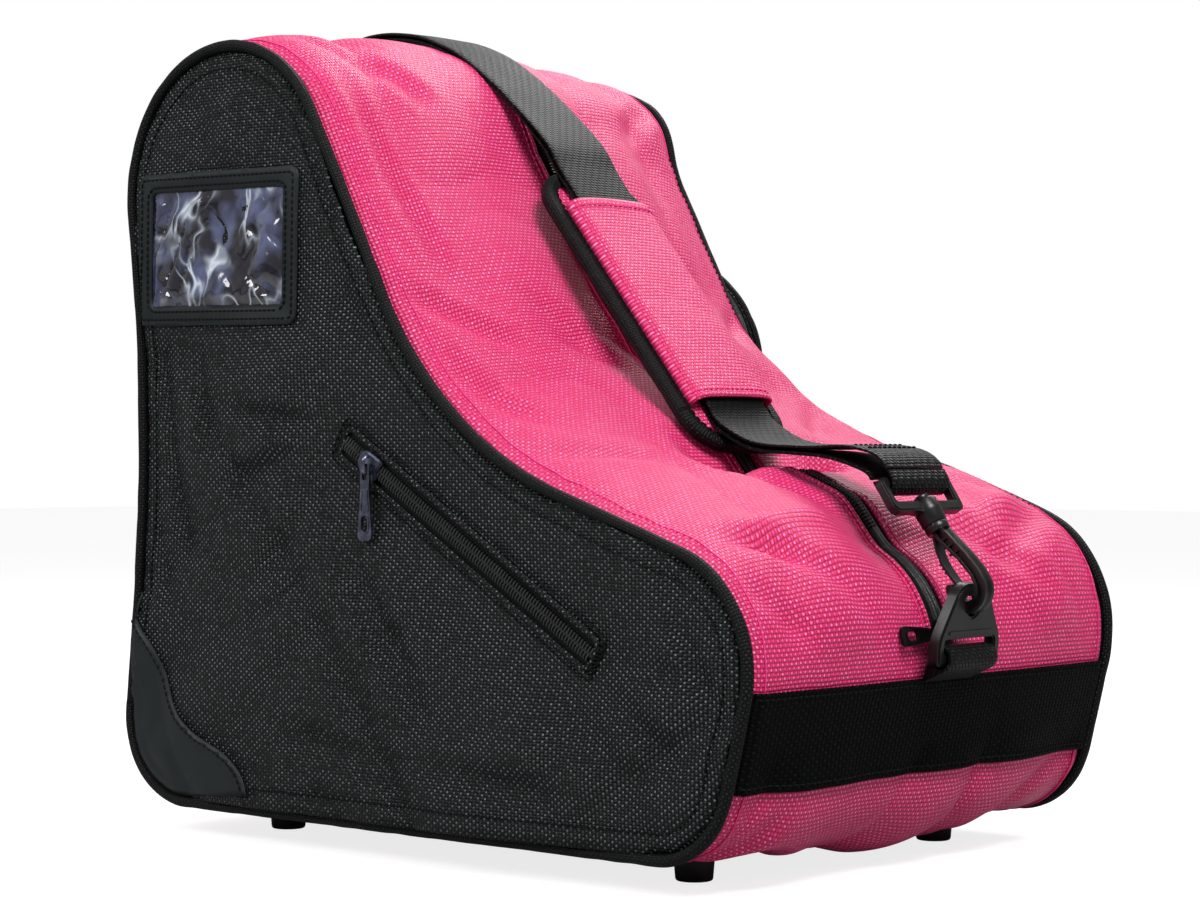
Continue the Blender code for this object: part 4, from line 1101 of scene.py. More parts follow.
def on_panel(x, z, side, height=0.0):
    """Points on the near (-1) or far (1) panel's cloth."""
    x, z = np.broadcast_arrays(np.asarray(x, float), np.asarray(z, float))
    y = side * (PANEL_OUT + panel_rise(x, z, side < 0) + height)
    return np.stack([x, y, z], -1)


def panel_grid(step, ring):
    """Grid points inside a ring, with alternate rows shifted."""
    xs, zs = np.arange(-0.178, 0.180, step), np.arange(0.012, 0.344, step * 0.87)
    grid_x, grid_z = np.meshgrid(xs, zs)
    grid_x = grid_x + (np.arange(len(zs)) % 2)[:, None] * step / 2
    x, z = grid_x.ravel(), grid_z.ravel()
    inside = crossing(np.array(ring), x, z)
    return x[inside], z[inside]


def crossing(ring, x, z):
    """True for each point inside a closed ring."""
    inside = np.zeros(len(x), bool)
    for (ax, az), (bx, bz) in zip(ring, np.roll(ring, -1, 0)):
        if az == bz:
            continue
        hit = ((az > z) != (bz > z)) & (x < ax + (z - az) / (bz - az) * (bx - ax))
        inside ^= hit
    return inside


def zip_slot():
    """The outline of the near panel's opening for its zip, with close points."""
    slot = [on_side_zip(*p) for p in rounded(zip_corners(0.0, ZIP_HALF - 0.0004), 0.0030)]
    dense = []
    for a, b in zip(slot, slot[1:] + slot[:1]):
        count = max(1, int(hypot(b[0] - a[0], b[1] - a[1]) / 0.0027))
        for k in range(count):
            dense.append((a[0] + (b[0] - a[0]) * k / count, a[1] + (b[1] - a[1]) * k / count))
    return dense


def side_panel(name, side, node):
    runs = steps(0, AROUND, 0.0026)[:-1]
    drawn_in = far_tuck(runs) if side > 0 else 0.0
    rim_x, rim_z, _, _ = rim(runs, 0.0042 + drawn_in)
    outline = list(zip(rim_x, rim_z))
    x, z = panel_grid(0.0027, shrunk(outline, 0.0018))
    holes = []
    if side < 0:
        holes.append(zip_slot())
        u, v = from_side_zip(x, z)
        clear = (np.abs(v) > ZIP_HALF + 0.001) | (u < -0.0012) | (u > ZIP_LENGTH + 0.0012)
        x, z = x[clear], z[clear]
    flat, faces = fill_plane(outline, holes, list(zip(x, z)))
    points = on_panel(flat[:, 0], flat[:, 1], side)
    cloth = np.column_stack([flat, np.zeros(len(flat))])
    put(name, points, faces, BLACK, node, cloth=cloth, outward=(0, side, 0), thick=CLOTH)


def panel_stitches():
    runs = steps(0, AROUND, 0.002)
    for name, side in SIDES:
        x, z, _, _ = rim(runs, 0.0125 + (far_tuck(runs) if side > 0 else 0.0))
        line = on_panel(x, z, side, 0.0002)
        stitch_row(f"panel_seam_stitches_{name}", line, (0, side, 0))


# ---------------------------------------------------------------- zips
def coil(name, middle, along, across, out):
    """Two rows of interlocking nylon coil loops along a track given by dense points and directions."""
    pitch = 0.0016
    profile = (
        # how far out from the middle, how high and how far ahead
        (0.0030, -0.0005, 0.0),
        (0.0029, 0.0006, 0.00012),
        (0.0017, 0.00095, 0.0002),
        (0.0004, 0.0007, 0.0001),
        (-0.0007, 0.0001, 0.0),
    )
    along, across = (np.broadcast_to(way, middle.shape) for way in (along, across))
    parts = Parts()
    for row in even_line(np.concatenate([middle, along, across, out], 1), pitch):
        centre, forward, side, up = row[0:3], row[3:6], row[6:9], row[9:12]
        for hand in (-1, 1):
            line = [
                centre + forward * (0.25 * pitch + lead) * hand + side * hand * reach + up * height
                for reach, height, lead in profile
            ]
            parts.tube(line, 0.00046, sides=6, up=forward)
    parts.put(name, COIL)


def round_coil(name, middle, out):
    """The coil of a zip that runs round a curve in the side view."""
    coil(name, middle, np.stack([-out[:, 2], out[:, 1] * 0, out[:, 0]], 1), (0.0, 1.0, 0.0), out)


def zip_tape(name, node, place, us, y_edge, y_middle):
    """A flat woven tape beside the coil. place(u, v, height) gives points and outward directions."""
    sheet(name, us, steps(y_edge, y_middle, 0.0009), lambda u, v: place(u, v, -0.0005), TAPE, node, 0.0006)


def side_zip_place(u, v, height):
    u, v = np.broadcast_arrays(np.asarray(u, float), np.asarray(v, float))
    x, z = on_side_zip(u, v)
    y = np.full_like(x, -PANEL_OUT + 0.0003) - height
    return np.stack([x, y, z], -1), np.broadcast_to([0.0, -1.0, 0.0], (*u.shape, 3))


def side_zip():
    us = steps(0.0, ZIP_LENGTH, 0.0024)
    zip_tape("side_zip_upper_tape", "side_zip_tape_upper", side_zip_place, us, ZIP_HALF, 0.0003)
    zip_tape("side_zip_lower_tape", "side_zip_tape_lower", side_zip_place, us, -ZIP_HALF, -0.0003)
    us = steps(0.002, ZIP_LENGTH - 0.002, 0.003)
    middle, out = side_zip_place(us, 0.0 * us, 0.0002)
    coil("side_zip_coil", middle, (ZIP_ALONG[0], 0.0, ZIP_ALONG[1]), (ZIP_ACROSS[0], 0.0, ZIP_ACROSS[1]), out)
    half = ZIP_HALF - 0.0006
    welt(half)
    bar_tacks(half)


def near_panel_line(corners, radius, step, height):
    """A closed line on the near panel, rounded, from corners along and across the side zip."""
    flat = np.array([on_side_zip(*p) for p in rounded(corners, radius)])
    line = even_line(closed_line(flat), step)
    return on_panel(line[:, 0], line[:, 1], -1, height)


def welt(half):
    """The folded cloth edge round the side zip, with its row of stitches."""
    edge = near_panel_line(zip_corners(0.0, half), 0.0034, 0.0024, -0.0002)[:-1]
    points, faces, cloth = tube_body(edge, 0.0013, sides=10, closed=True)
    put("side_zip_welt", points, faces, BLACK, cloth=cloth)
    row = near_panel_line(zip_corners(0.0034, half + 0.0034), 0.0040, 0.002, 0.0002)
    stitch_row("side_zip_welt_stitches", row, (0, -1, 0))


def bar_tacks(half):
    """A dense zigzag of thread across each end of the side zip."""
    tacks = Parts()
    for u in (-0.0015, ZIP_LENGTH + 0.0015):
        for k in range(9):
            low = np.array(on_side_zip(u - 0.0012, -half + 2 * half * k / 8))
            high = np.array(on_side_zip(u + 0.0012, -half + 2 * half * (k + 0.5) / 8))
            x, z = np.array([low, (low + high) / 2, high]).T
            ends = on_panel(x, z, -1)
            ends[:, 1] -= (0.0002, 0.0010, 0.0002)
            tacks.tube(ends, 0.00045, sides=6)
    tacks.put("side_zip_welt_bar_tacks", BLACK_THREAD)


def main_zip():
    us = steps(ZIP_TOE, ZIP_HEEL, 0.0024)
    zip_tape("main_zip_near_tape", "main_zip_tape_near", on_gusset, us, -ZIP_HALF - 0.001, -0.0003)
    zip_tape("main_zip_far_tape", "main_zip_tape_far", on_gusset, us, ZIP_HALF + 0.001, 0.0003)
    us = steps(ZIP_TOE + 0.002, ZIP_HEEL - 0.002, 0.003)
    round_coil("main_zip_coil", *on_gusset(us, 0.0 * us, 0.0))


def slider_body(prefix, origin, track, normal, pull_way, finish):
    """A slider with rounded wings and a bail, replacing the plain CAD one."""
    across, pull_across = normal.cross(track), normal.cross(pull_way)

    def on_track(u, v, height):
        return origin + track * u + across * v + normal * height

    wings = [(-0.0068, -0.0026), (-0.0040, -0.0048), (0.0040, -0.0050), (0.0066, -0.0042)]
    wings += [(0.0048, 0.0), (0.0066, 0.0042), (0.0040, 0.0050), (-0.0040, 0.0048), (-0.0068, 0.0026)]
    radii = [0.0016, 0.0012, 0.0012, 0.0010, 0.0012, 0.0010, 0.0012, 0.0012, 0.0016]
    outline = rounded(wings, radii, 3)
    parts = Parts()
    parts.plate(outline, [], on_track, 0.0004, 0.0012)
    parts.plate(shrunk(outline, 0.0007), [], on_track, 0.0011, 0.0019)
    arch = [(-0.0036, 0.0014), (-0.0036, 0.0036), (-0.0023, 0.0048)]
    arch += [(-a, height) for a, height in reversed(arch)]
    line = [tuple(origin + pull_way * a + normal * height) for a, height in even_line(arch, 0.0007)]
    parts.tube(line, 0.00062, flat=1.5, up=tuple(pull_across))
    parts.put(f"{prefix}_slider_metal", finish, f"{prefix}_slider", body=f"{prefix}_slider", bevel=0.00018)


def slider_pull(prefix, origin, normal, pull_way, finish):
    """A long pull with an eye, an oval hole and raised rims."""
    pull_across = normal.cross(pull_way)

    def on_pull(u, v, height):
        return origin + pull_way * u + pull_across * v + normal * (height + 0.0034)

    length = 0.0310
    side = [(-0.0006, -0.0025), (0.0068, -0.0027), (0.0092, -0.0024), (length, -0.0043)]
    radii = [0.0010, 0.0012, 0.0020, 0.0030]
    outline = rounded(side + [(u, -v) for u, v in reversed(side)], radii + radii[::-1], 5)
    eye = rounded([(0.0006, -0.0015), (0.0062, -0.0015), (0.0062, 0.0015), (0.0006, 0.0015)], 0.0007, 3)
    oval = rounded_box((length - 0.0068, 0.0), (0.0068, 0.0036), 0.0017, 5)
    panel = [(0.0098, -0.0017), (length - 0.0118, -0.0026), (length - 0.0118, 0.0026), (0.0098, 0.0017)]
    rim_line = rounded(panel, 0.0009, 4)
    pull = Parts()
    pull.plate(outline, [eye, oval], on_pull, -0.00055, 0.00055)
    pull.plate(rim_line, [shrunk(rim_line, 0.0006)], on_pull, 0.0004, 0.00085)
    pull.plate(shrunk(oval, -0.0009), [shrunk(oval, -0.0001)], on_pull, 0.0004, 0.00085)
    pull.put(f"{prefix}_pull_metal", finish, f"{prefix}_pull", body=f"{prefix}_pull", bevel=0.00016)


def zip_slider(prefix, origin, track, normal, pull_way, finish=METAL):
    origin, track, normal, pull_way = (Vector(v) for v in (origin, track, normal, pull_way))
    slider_body(prefix, origin, track, normal, pull_way, finish)
    slider_pull(prefix, origin, normal, pull_way, finish)


def round_track(centre, y, reach, turn):
    """The origin, track and normal of a slider on a zip that runs round a circle in the side view."""
    origin = (centre[0] + reach * cos(turn), y, centre[1] + reach * sin(turn))
    return origin, (-sin(turn), 0, cos(turn)), (cos(turn), 0, sin(turn))


def sliders():
    above_coil = 0.0005
    toe = round_track(TOE_TOP, 0.0, TOE_RADIUS - GUSSET_INSET + above_coil, radians(11.5))
    zip_slider("main_zip", *toe, (0, -1, 0), DARK_METAL)
    x, z = on_side_zip(0.0200, 0.0)
    way = (ZIP_ALONG[0], 0, ZIP_ALONG[1])
    zip_slider("side_zip", (x, -PANEL_OUT - above_coil, z), way, (0, -1, 0), (0, 0, -1))
    arch = round_track((POCKET_X, POCKET_ARCH_Z), POCKET_ZIP_Y, POCKET_RADIUS + above_coil, radians(172))
    zip_slider("far_zip", *arch, arch[1])


# ---------------------------------------------------------------- ID window, patches and pocket
def soft_plate(name, outline, holes, side, height, finish, nodes, step, thick, bumps):
    """A sheet that lies on a side panel at this height, with its own bumps. step is its points' spacing."""
    ring = np.array(outline)
    xs, zs = (np.arange(ring[:, k].min(), ring[:, k].max(), step) for k in (0, 1))
    x, z = (g.ravel() for g in np.meshgrid(xs, zs))
    inside = crossing(np.array(shrunk(outline, step * 0.35)), x, z)
    for hole in holes:
        inside &= ~crossing(np.array(shrunk(hole, -step * 0.35)), x, z)
    flat, faces = fill_plane(outline, holes, list(zip(x[inside], z[inside])))
    points = on_panel(flat[:, 0], flat[:, 1], side, height + bumps(flat[:, 0], flat[:, 1]))
    cloth = np.column_stack([flat, np.zeros(len(flat))])
    put(name, points, faces, finish, nodes, cloth=cloth, outward=(0, side, 0), thick=thick)


def id_box(size, radius):
    """A rounded box round the ID window's centre, leaning a little, with close points."""
    lean = radians(-1.2)
    ring = []
    for x, z in rounded_box((0.0, 0.0), size, radius):
        across, up = x * cos(lean) - z * sin(lean), x * sin(lean) + z * cos(lean)
        ring.append((ID_CENTRE[0] + across, ID_CENTRE[1] + up))
    return dense_ring(ring, 0.0025)


def id_window():
    outer = id_box((0.1050, 0.0670), 0.0045)
    opening = id_box((0.0860, 0.0500), 0.0016)
    pane = id_box((0.0880, 0.0520), 0.0010)

    def frame_swell(x, z):
        nearest = np.minimum(distance_to_ring(x, z, outer), distance_to_ring(x, z, opening))
        return 0.0006 * smooth_step(nearest, 0.0, 0.0028) - 0.0003

    def crumple(x, z):
        inside = smooth_step(distance_to_ring(x, z, pane), 0.0005, 0.0060)
        broad = folds(x, z, 0.030, 0.0110, 1.05, 71) * 0.0016 + folds(x, z, 0.020, 0.0085, -0.7, 77) * 0.0011
        fine = folds(x, z, 0.011, 0.0045, 0.5, 83) * 0.00030
        return (broad + fine + 0.0004) * inside

    node = "id_window_frame"
    soft_plate("id_frame_leather", outer, [opening], -1, 0.0014, LEATHER, node, 0.0022, 0.0014, frame_swell)
    soft_plate("id_pane_vinyl", pane, [], -1, 0.0005, VINYL, "id_window_pane", 0.0011, 0.00025, crumple)
    for tag, ring, inset in (("outer", outer, 0.0026), ("inner", opening, -0.0024)):
        line = closed_line(shrunk(ring, inset))
        line = on_panel(line[:, 0], line[:, 1], -1, 0.0017)
        stitch_row(f"id_stitches_{tag}", line, (0, -1, 0), pitch=0.0029)


def distance_to_ring(x, z, ring):
    ring = np.asarray(ring)
    x, z = np.asarray(x, float), np.asarray(z, float)
    found = np.full(x.shape, 1.0)
    for (ax, az), (bx, bz) in zip(ring, np.roll(ring, -1, 0)):
        dx, dz = bx - ax, bz - az
        t = np.clip(((x - ax) * dx + (z - az) * dz) / (dx * dx + dz * dz + 1e-12), 0, 1)
        found = np.minimum(found, np.hypot(x - ax - t * dx, z - az - t * dz))
    return found


PATCH_EDGE = (
    (-0.0905, 0.0175), (-0.0980, 0.0300), (-0.1100, 0.0380), (-0.1290, 0.0455), (-0.1425, 0.0560),
    (-0.1495, 0.0690), (-0.1560, 0.0800), (-0.1640, 0.0880), (-0.1722, 0.0955),
)


def corner_patches():
    """Faux leather over each side's heel corner. Its free edge is a long S, turned under and stitched."""
    start, end = nearest_run(-0.1745, 0.0960), nearest_run(-0.0880, 0.0110) + AROUND
    rim_x, rim_z, _, _ = rim(steps(start, end, 0.0030), 0.0052)
    smooth_edge = even_line(rounded_path(PATCH_EDGE), 0.0028)[1:-1]
    outline = [*zip(rim_x, rim_z), *map(tuple, smooth_edge)]
    row = even_line(rounded_path([(x - 0.0022, z - 0.0014) for x, z in PATCH_EDGE]), 0.002)

    def swell(x, z):
        return 0.0005 * smooth_step(distance_to_ring(x, z, smooth_edge[:-1]), 0.0, 0.0026) - 0.0002

    for name, side in SIDES:
        node = f"corner_patch_{name}"
        soft_plate(f"{node}_leather", outline, [], side, 0.0012, LEATHER, node, 0.0030, 0.0012, swell)
        line = on_panel(row[:, 0], row[:, 1], side, 0.0014)
        stitch_row(f"corner_patch_stitches_{name}", line, (0, side, 0))


def rounded_path(points):
    """A smooth open path through the points."""
    p = np.array(points, float)
    p = np.vstack([2 * p[0] - p[1], p, 2 * p[-1] - p[-2]])
    return np.array([*smooth_path(p, 12), p[-2]])


def catmull_rom(a, b, c, d, t):
    near = (c - a) * t + (2 * a - 5 * b + 4 * c - d) * t * t
    return 0.5 * (2 * b + near + (3 * b - a - 3 * c + d) * t**3)


def pocket_ring(inset):
    """The far pocket's outline, arch first, with even points."""
    radius, corner = POCKET_RADIUS - inset, POCKET_CORNER - inset
    points = arc((POCKET_X, POCKET_ARCH_Z), radius, 0.0, pi, 60)
    for side, start in ((-1, pi), (1, 3 * pi / 2)):
        middle = (POCKET_X + side * (POCKET_RADIUS - POCKET_CORNER), POCKET_BOTTOM_Z + POCKET_CORNER)
        points += arc(middle, corner, start, start + pi / 2, 10)
    return np.array(points)


POCKET_LINE = closed_line(pocket_ring(0.0))
POCKET_RUNS = run_along(POCKET_LINE)
POCKET_ROUND = POCKET_RUNS[-1]
POCKET_ARCH = pi * POCKET_RADIUS


def on_pocket(run, y, height=0.0):
    """Points on the pocket's wall, which bulges and folds a little, and the outward directions."""
    run, y = np.broadcast_arrays(np.asarray(run, float), np.asarray(y, float))

    def ring_point(at):
        return np.stack([np.interp(at % POCKET_ROUND, POCKET_RUNS, POCKET_LINE[:, k]) for k in (0, 1)])

    x, z = ring_point(run)
    dx, dz = ring_point(run + 0.0015) - ring_point(run - 0.0015)
    size = np.hypot(dx, dz)
    nx, nz = dz / size, -dx / size
    free = smooth_step(np.abs(y - POCKET_ZIP_Y), 0.0070, 0.0120)
    swell = 0.0034 * np.sin(pi * np.clip((y - PANEL_OUT) / (POCKET_ZIP_Y - POCKET_TAPE - PANEL_OUT), 0, 1))
    wave = folds(run, y, 0.030, 0.018, 1.3, 91) * 0.0010
    rise = (swell + wave) * free * smooth_step(y, PANEL_OUT, PANEL_OUT + 0.006) + height
    return np.stack([x + nx * rise, y, z + nz * rise], -1), np.stack([nx, np.zeros_like(nx), nz], -1)


def on_arch(u, v, height=0.0):
    return on_pocket(u, POCKET_ZIP_Y + v, height)


def far_pocket():
    low, high = POCKET_ZIP_Y - POCKET_TAPE, POCKET_ZIP_Y + POCKET_TAPE
    around = steps(0, POCKET_ROUND, 0.0024)[:-1]
    ys = steps(PANEL_OUT - 0.001, low, 0.0017)
    sheet("pocket_wall_cloth", around, ys, on_pocket, BLACK, "far_pocket_wall", CLOTH, close_rows=True)
    below = steps(POCKET_ARCH + 0.0005, POCKET_ROUND - 0.0005, 0.0024)
    ys = steps(low, high, 0.0020)
    sheet("pocket_gusset_cloth", below, ys, on_pocket, BLACK, "far_pocket_gusset", CLOTH)
    pocket_front(high)
    arch = steps(0.0005, POCKET_ARCH - 0.0005, 0.0020)
    zip_tape("far_zip_inner_tape", "far_zip_tape_inner", on_arch, arch, -POCKET_TAPE, -0.0003)
    zip_tape("far_zip_outer_tape", "far_zip_tape_outer", on_arch, arch, POCKET_TAPE, 0.0003)
    us = steps(0.002, POCKET_ARCH - 0.002, 0.0025)
    round_coil("far_zip_coil", *on_arch(us, 0.0 * us))
    rims = (("base", PANEL_OUT + 0.0016, 0.0002, 0.0016), ("crown", POCKET_END_Y - 0.0055, -0.0001, 0.0018))
    for tag, y, height, radius in rims:
        parts = Parts()
        parts.tube(on_pocket(around, y, height)[0], radius, sides=10, closed=True)
        parts.put(f"pocket_{tag}_piping", BINDING)


def pocket_front(start_y):
    """The pocket's face: a short side, a rounded edge, and a crowned front with soft folds."""
    straight = (start_y, start_y + 0.0015, POCKET_END_Y - 0.0070, POCKET_END_Y - 0.0050)
    rings = [(0.0, y) for y in straight]
    for turn in np.linspace(0, pi / 2, 6)[1:]:
        rings.append((0.0055 * (1 - cos(turn)), POCKET_END_Y - 0.0050 + 0.0045 * sin(turn)))
    loops = []
    for inset, y in rings:
        ring = pocket_ring(inset)
        loops.append(np.column_stack([ring[:, 0], np.full(len(ring), y), ring[:, 1]]))
    last = pocket_ring(0.0055)
    middle = last.mean(0)
    for share in np.linspace(0.94, 0.02, 22):
        flat = middle + (last - middle) * share
        crown = 0.0075 * (1 - share**2)
        wave = folds(flat[:, 0], flat[:, 1], 0.055, 0.024, 0.9, 97) * 0.0014 * min(1.0, (1 - share) * 6)
        loops.append(np.column_stack([flat[:, 0], POCKET_END_Y - 0.0005 + crown + wave, flat[:, 1]]))
    points, faces = bowl(loops)
    cloth = np.stack([points[:, 0], points[:, 2] + points[:, 1], points[:, 1] * 0], 1)
    outward = points - (middle[0], PANEL_OUT, middle[1])
    node = "far_pocket_front"
    put("pocket_front_cloth", points, faces, BLACK, node, cloth=cloth, outward=outward, thick=CLOTH)


POUCH_CORNERS = (
    (-0.0450, 0.1740), (0.0300, 0.1450), (0.1120, 0.0960), (0.1240, 0.0600), (0.1080, 0.0310),
    (-0.0450, 0.0310),
)
POUCH_LOOPS = (
    # how wide the pouch's loop is, and how deep it lies behind the panel
    (1.0, 0.0016), (1.0, 0.0040), (0.995, 0.0080), (0.97, 0.0110), (0.80, 0.0125), (0.5, 0.0120),
    (0.05, 0.0125),
)


def side_pouch():
    """The side pocket's slack cloth bag, just inside the near panel."""
    outline = np.array(dense_ring(rounded(POUCH_CORNERS, 0.012, 6), 0.004))
    middle = outline.mean(0)
    loops = []
    for share, depth in POUCH_LOOPS:
        flat = middle + (outline - middle) * share * 0.99
        slack = soft_noise(flat[:, 0] / 0.02, flat[:, 1] / 0.02, 57) * 0.0006 * min(1.0, depth / 0.008)
        loops.append(np.column_stack([flat[:, 0], -PANEL_OUT + 0.0025 + depth + slack, flat[:, 1]]))
    points, faces = bowl(loops)
    outward = points - (middle[0], -PANEL_OUT, middle[1])
    cloth = np.stack([points[:, 0], points[:, 2], points[:, 1]], 1)
    node = "side_pocket_pouch"
    put("side_pouch_cloth", points, faces, LINING, node, cloth=cloth, outward=outward, thick=0.0005)


# ---------------------------------------------------------------- feet
FOOT_NAMES = ("front_near", "front_far", "rear_near", "rear_far")
FOOT_PROFILE = (
    (0.0027, 0.0052), (0.0030, 0.0048), (0.0030, 0.0036), (0.0044, 0.0030), (0.0052, 0.0008),
    (0.0060, 0.0001), (0.0067, 0.0), (0.0072, 0.0003), (0.0075, 0.0010), (0.0080, 0.0070),
    (0.0085, 0.0108), (0.0092, 0.0112), (0.0093, 0.0118), (0.0090, FOOT_TOP_Z), (0.0027, FOOT_TOP_Z),
)


def feet():
    for name, (x, y) in zip(FOOT_NAMES, FEET):
        points, faces = turned_ring(FOOT_PROFILE, lambda u, v, height: (x + u, y + v, FLOOR_Z + height))
        put(f"foot_{name}_moulding", points, faces, FOOT, f"foot_{name}")


# ---------------------------------------------------------------- clip chains
def chain_frame(origin, lean, side):
    """place(y, v, w): v runs up the chain from origin, leaning over by lean; w points away from the bag."""
    up = np.array([-side * sin(lean), 0.0, cos(lean)])
    out = np.array([side * cos(lean), 0.0, sin(lean)])
    start = np.array([origin[0], 0.0, origin[1]])
    return lambda y, v, w: start + up * v + out * w + np.array([0.0, y, 0.0])


def ring_apex(side):
    return (side * (RING_BAR[0] + RING_APEX * sin(RING_LEAN)), RING_BAR[1] + RING_APEX * cos(RING_LEAN))


def tab(end, side):
    """The webbing loop through the ring's slot, with a tip that tucks in behind the band's top edge."""
    hole, reach, tip = 0.0038, 0.0055, (-0.0090, -0.0098)
    towards = atan2(tip[1], tip[0])
    spread = acos(reach / hypot(*tip))
    angles = np.linspace(0, 2 * pi, 65)[:-1]
    middle = np.array([side * RING_BAR[0], RING_BAR[1]])
    ways = np.column_stack([side * np.cos(angles), np.sin(angles)])
    off = np.abs((angles - towards + pi) % (2 * pi) - pi)
    outer = np.where(off < spread, reach / np.cos(spread - off), reach)
    half = 0.0160
    ys = np.linspace(-half, half, 13)
    soft = 0.0003 * smooth_step(np.abs(ys), half - 0.0010, half)
    loops = []
    for far, chosen in ((outer, zip(ys, -soft)), (np.full(64, hole), zip(ys[::-1], soft[::-1]))):
        for y, change in chosen:
            flat = middle + ways * (far + change)[:, None]
            loops.append(np.column_stack([flat[:, 0], np.full(len(flat), y), flat[:, 1]]))
    points = np.array(loops).reshape(-1, 3)
    cloth = np.column_stack([np.tile(angles * reach, len(loops)), points[:, 1], np.zeros(len(points))])
    faces = grid_faces(len(loops), len(angles), close_rows=True, close_columns=True)
    put(f"{end}_tab_webbing", points, faces, WEB, f"{end}_tab", cloth=cloth, sharp=50)


def triangle_ring(end, side):
    chain = chain_frame((side * RING_BAR[0], RING_BAR[1]), -RING_LEAN, side)
    corners = [(0.0205, -0.0026), (0.0212, 0.0070), (0.0105, 0.0270), (0.0050, 0.0298)]
    radii = [0.0022, 0.0050, 0.0050, 0.0022]
    outline = rounded(corners + [(-y, v) for y, v in reversed(corners)], radii * 2, 6)
    slot = rounded_box((0.0, 0.0052), (0.0334, 0.0056), 0.0016)
    right = [(0.0040, 0.0180), (0.0058, 0.0212), (0.0046, 0.0248)]
    left = [(-y, v) for y, v in right[::-1]]
    window = rounded([left[-1], (0.0, 0.0160), *right, *left[:-1]], 0.0012, 4)
    bar = rounded([(-0.0150, 0.0098), (0.0150, 0.0098), (0.0142, 0.0112), (-0.0142, 0.0112)], 0.0005, 3)
    parts = Parts()
    parts.plate(outline, [slot, window], chain, -0.0024, 0.0018)
    wider = [shrunk(slot, -0.0008), shrunk(window, -0.0008)]
    parts.plate(shrunk(outline, 0.0012), wider, chain, 0.0010, 0.0024)
    parts.plate(bar, [], chain, 0.0020, 0.0029)
    parts.put(f"{end}_ring_moulding", PLASTIC, f"{end}_ring", body=f"{end}_ring", bevel=0.0005)


EYE_IN, EYE_OUT = 0.0044, 0.0094
NECK_V, HEAD_V = 0.0302, 0.0415


def across_chain(chain):
    return lambda w, v, y: chain(y, v, w)


def along_chain(chain):
    return lambda u, v, height: chain(u, height, v)


def hook_arm(parts, place):
    """The arm and round eye: a web inside an I-beam's flanges. place takes (w, v, y)."""
    outline = [(0.0030, 0.0290), (0.0078, 0.0120), (0.0094, 0.0040)]
    outline += arc((0.0, 0.0), EYE_OUT, 0.0, -pi * 0.96, 26)
    outline += [(-0.0086, 0.0040), (-0.0078, 0.0058), (-0.0066, 0.0063), (-0.0053, 0.0058), (-0.0046, 0.0010)]
    outline += arc((0.0, 0.0), EYE_IN, -pi * 0.96, 0.0, 20)
    outline += [(0.0047, 0.0040), (0.0030, 0.0120), (-0.0010, 0.0235), (-0.0014, 0.0290)]
    wall = 0.00115
    channel = [(0.0022, 0.0268), (0.0066, 0.0120), (0.0082, 0.0040)]
    channel += arc((0.0, 0.0), EYE_OUT - wall, 0.0, -pi * 0.84, 22)
    channel += arc((0.0, 0.0), EYE_IN + wall, -pi * 0.84, 0.0, 18)
    channel += [(0.0059, 0.0040), (0.0043, 0.0120), (0.0003, 0.0235), (0.0001, 0.0268)]
    parts.plate(outline, [], place, -0.0015, 0.0015)
    parts.plate(outline, [channel], place, -0.0030, 0.0030)


def hook_ribs(parts, place):
    for v in (0.0150, 0.0185, 0.0220):
        w = 0.0034 - (v - 0.0120) * 0.16
        top = v + 0.0010
        rib = rounded([(w - 0.0024, v), (w + 0.0030, v), (w + 0.0028, top), (w - 0.0026, top)], 0.0003, 2)
        parts.plate(rib, [], place, -0.0026, 0.0026)


def hook(end, side, lean):
    """A swivel hook with a ribbed I-beam arm, a round eye and a turned stem."""
    chain = chain_frame(ring_apex(side), lean, side)
    place = across_chain(chain)
    parts = Parts()
    hook_arm(parts, place)
    stem = [(0.0046, 0.0268), (0.0050, 0.0276), (0.0050, 0.0296), (0.0046, NECK_V), (0.0022, NECK_V)]
    stem += [(0.0022, HEAD_V), (0.0033, HEAD_V), (0.0035, HEAD_V + 0.0006), (0.0033, 0.0430)]
    stem.append((0.0026, 0.0434))
    parts.add(*turned_body(stem, along_chain(chain)))
    hook_ribs(parts, place)
    parts.put(f"{end}_hook_moulding", PLASTIC, f"{end}_hook", body=f"{end}_hook", bevel=0.00035)


def gate(end, side, lean):
    """The sprung gate: a thin bowed strip with three grip bumps."""
    place = across_chain(chain_frame(ring_apex(side), lean, side))
    spine = [(-0.0020, 0.0262), (-0.0038, 0.0200), (-0.0044, 0.0140), (-0.0038, 0.0080), (-0.0031, 0.0046)]
    line = even_line(rounded_path(spine), 0.0011)
    half = path_normals(line) * 0.00055
    parts = Parts()
    parts.plate([tuple(p) for p in [*(line + half), *(line - half)[::-1]]], [], place, -0.0026, 0.0026)
    for v in (0.0108, 0.0128, 0.0148):
        w = line[np.argmin(np.abs(line[:, 1] - v)), 0]
        low, high = v - 0.0004, v + 0.0004
        bump = [(w - 0.0014, low), (w - 0.0002, low), (w - 0.0002, high), (w - 0.0014, high)]
        parts.plate(rounded(bump, 0.0003, 3), [], place, -0.0022, 0.0022)
    parts.put(f"{end}_gate_moulding", PLASTIC, f"{end}_gate", body=f"{end}_gate", bevel=0.00018)


BARREL = (
    (0.0027, 0.0303), (0.0048, 0.0303), (0.0053, 0.0310), (0.0053, 0.0345), (0.0056, 0.0352),
    (0.0056, 0.0372), (0.0053, 0.0380), (0.0053, 0.0404), (0.0048, 0.0411), (0.0027, 0.0411),
)


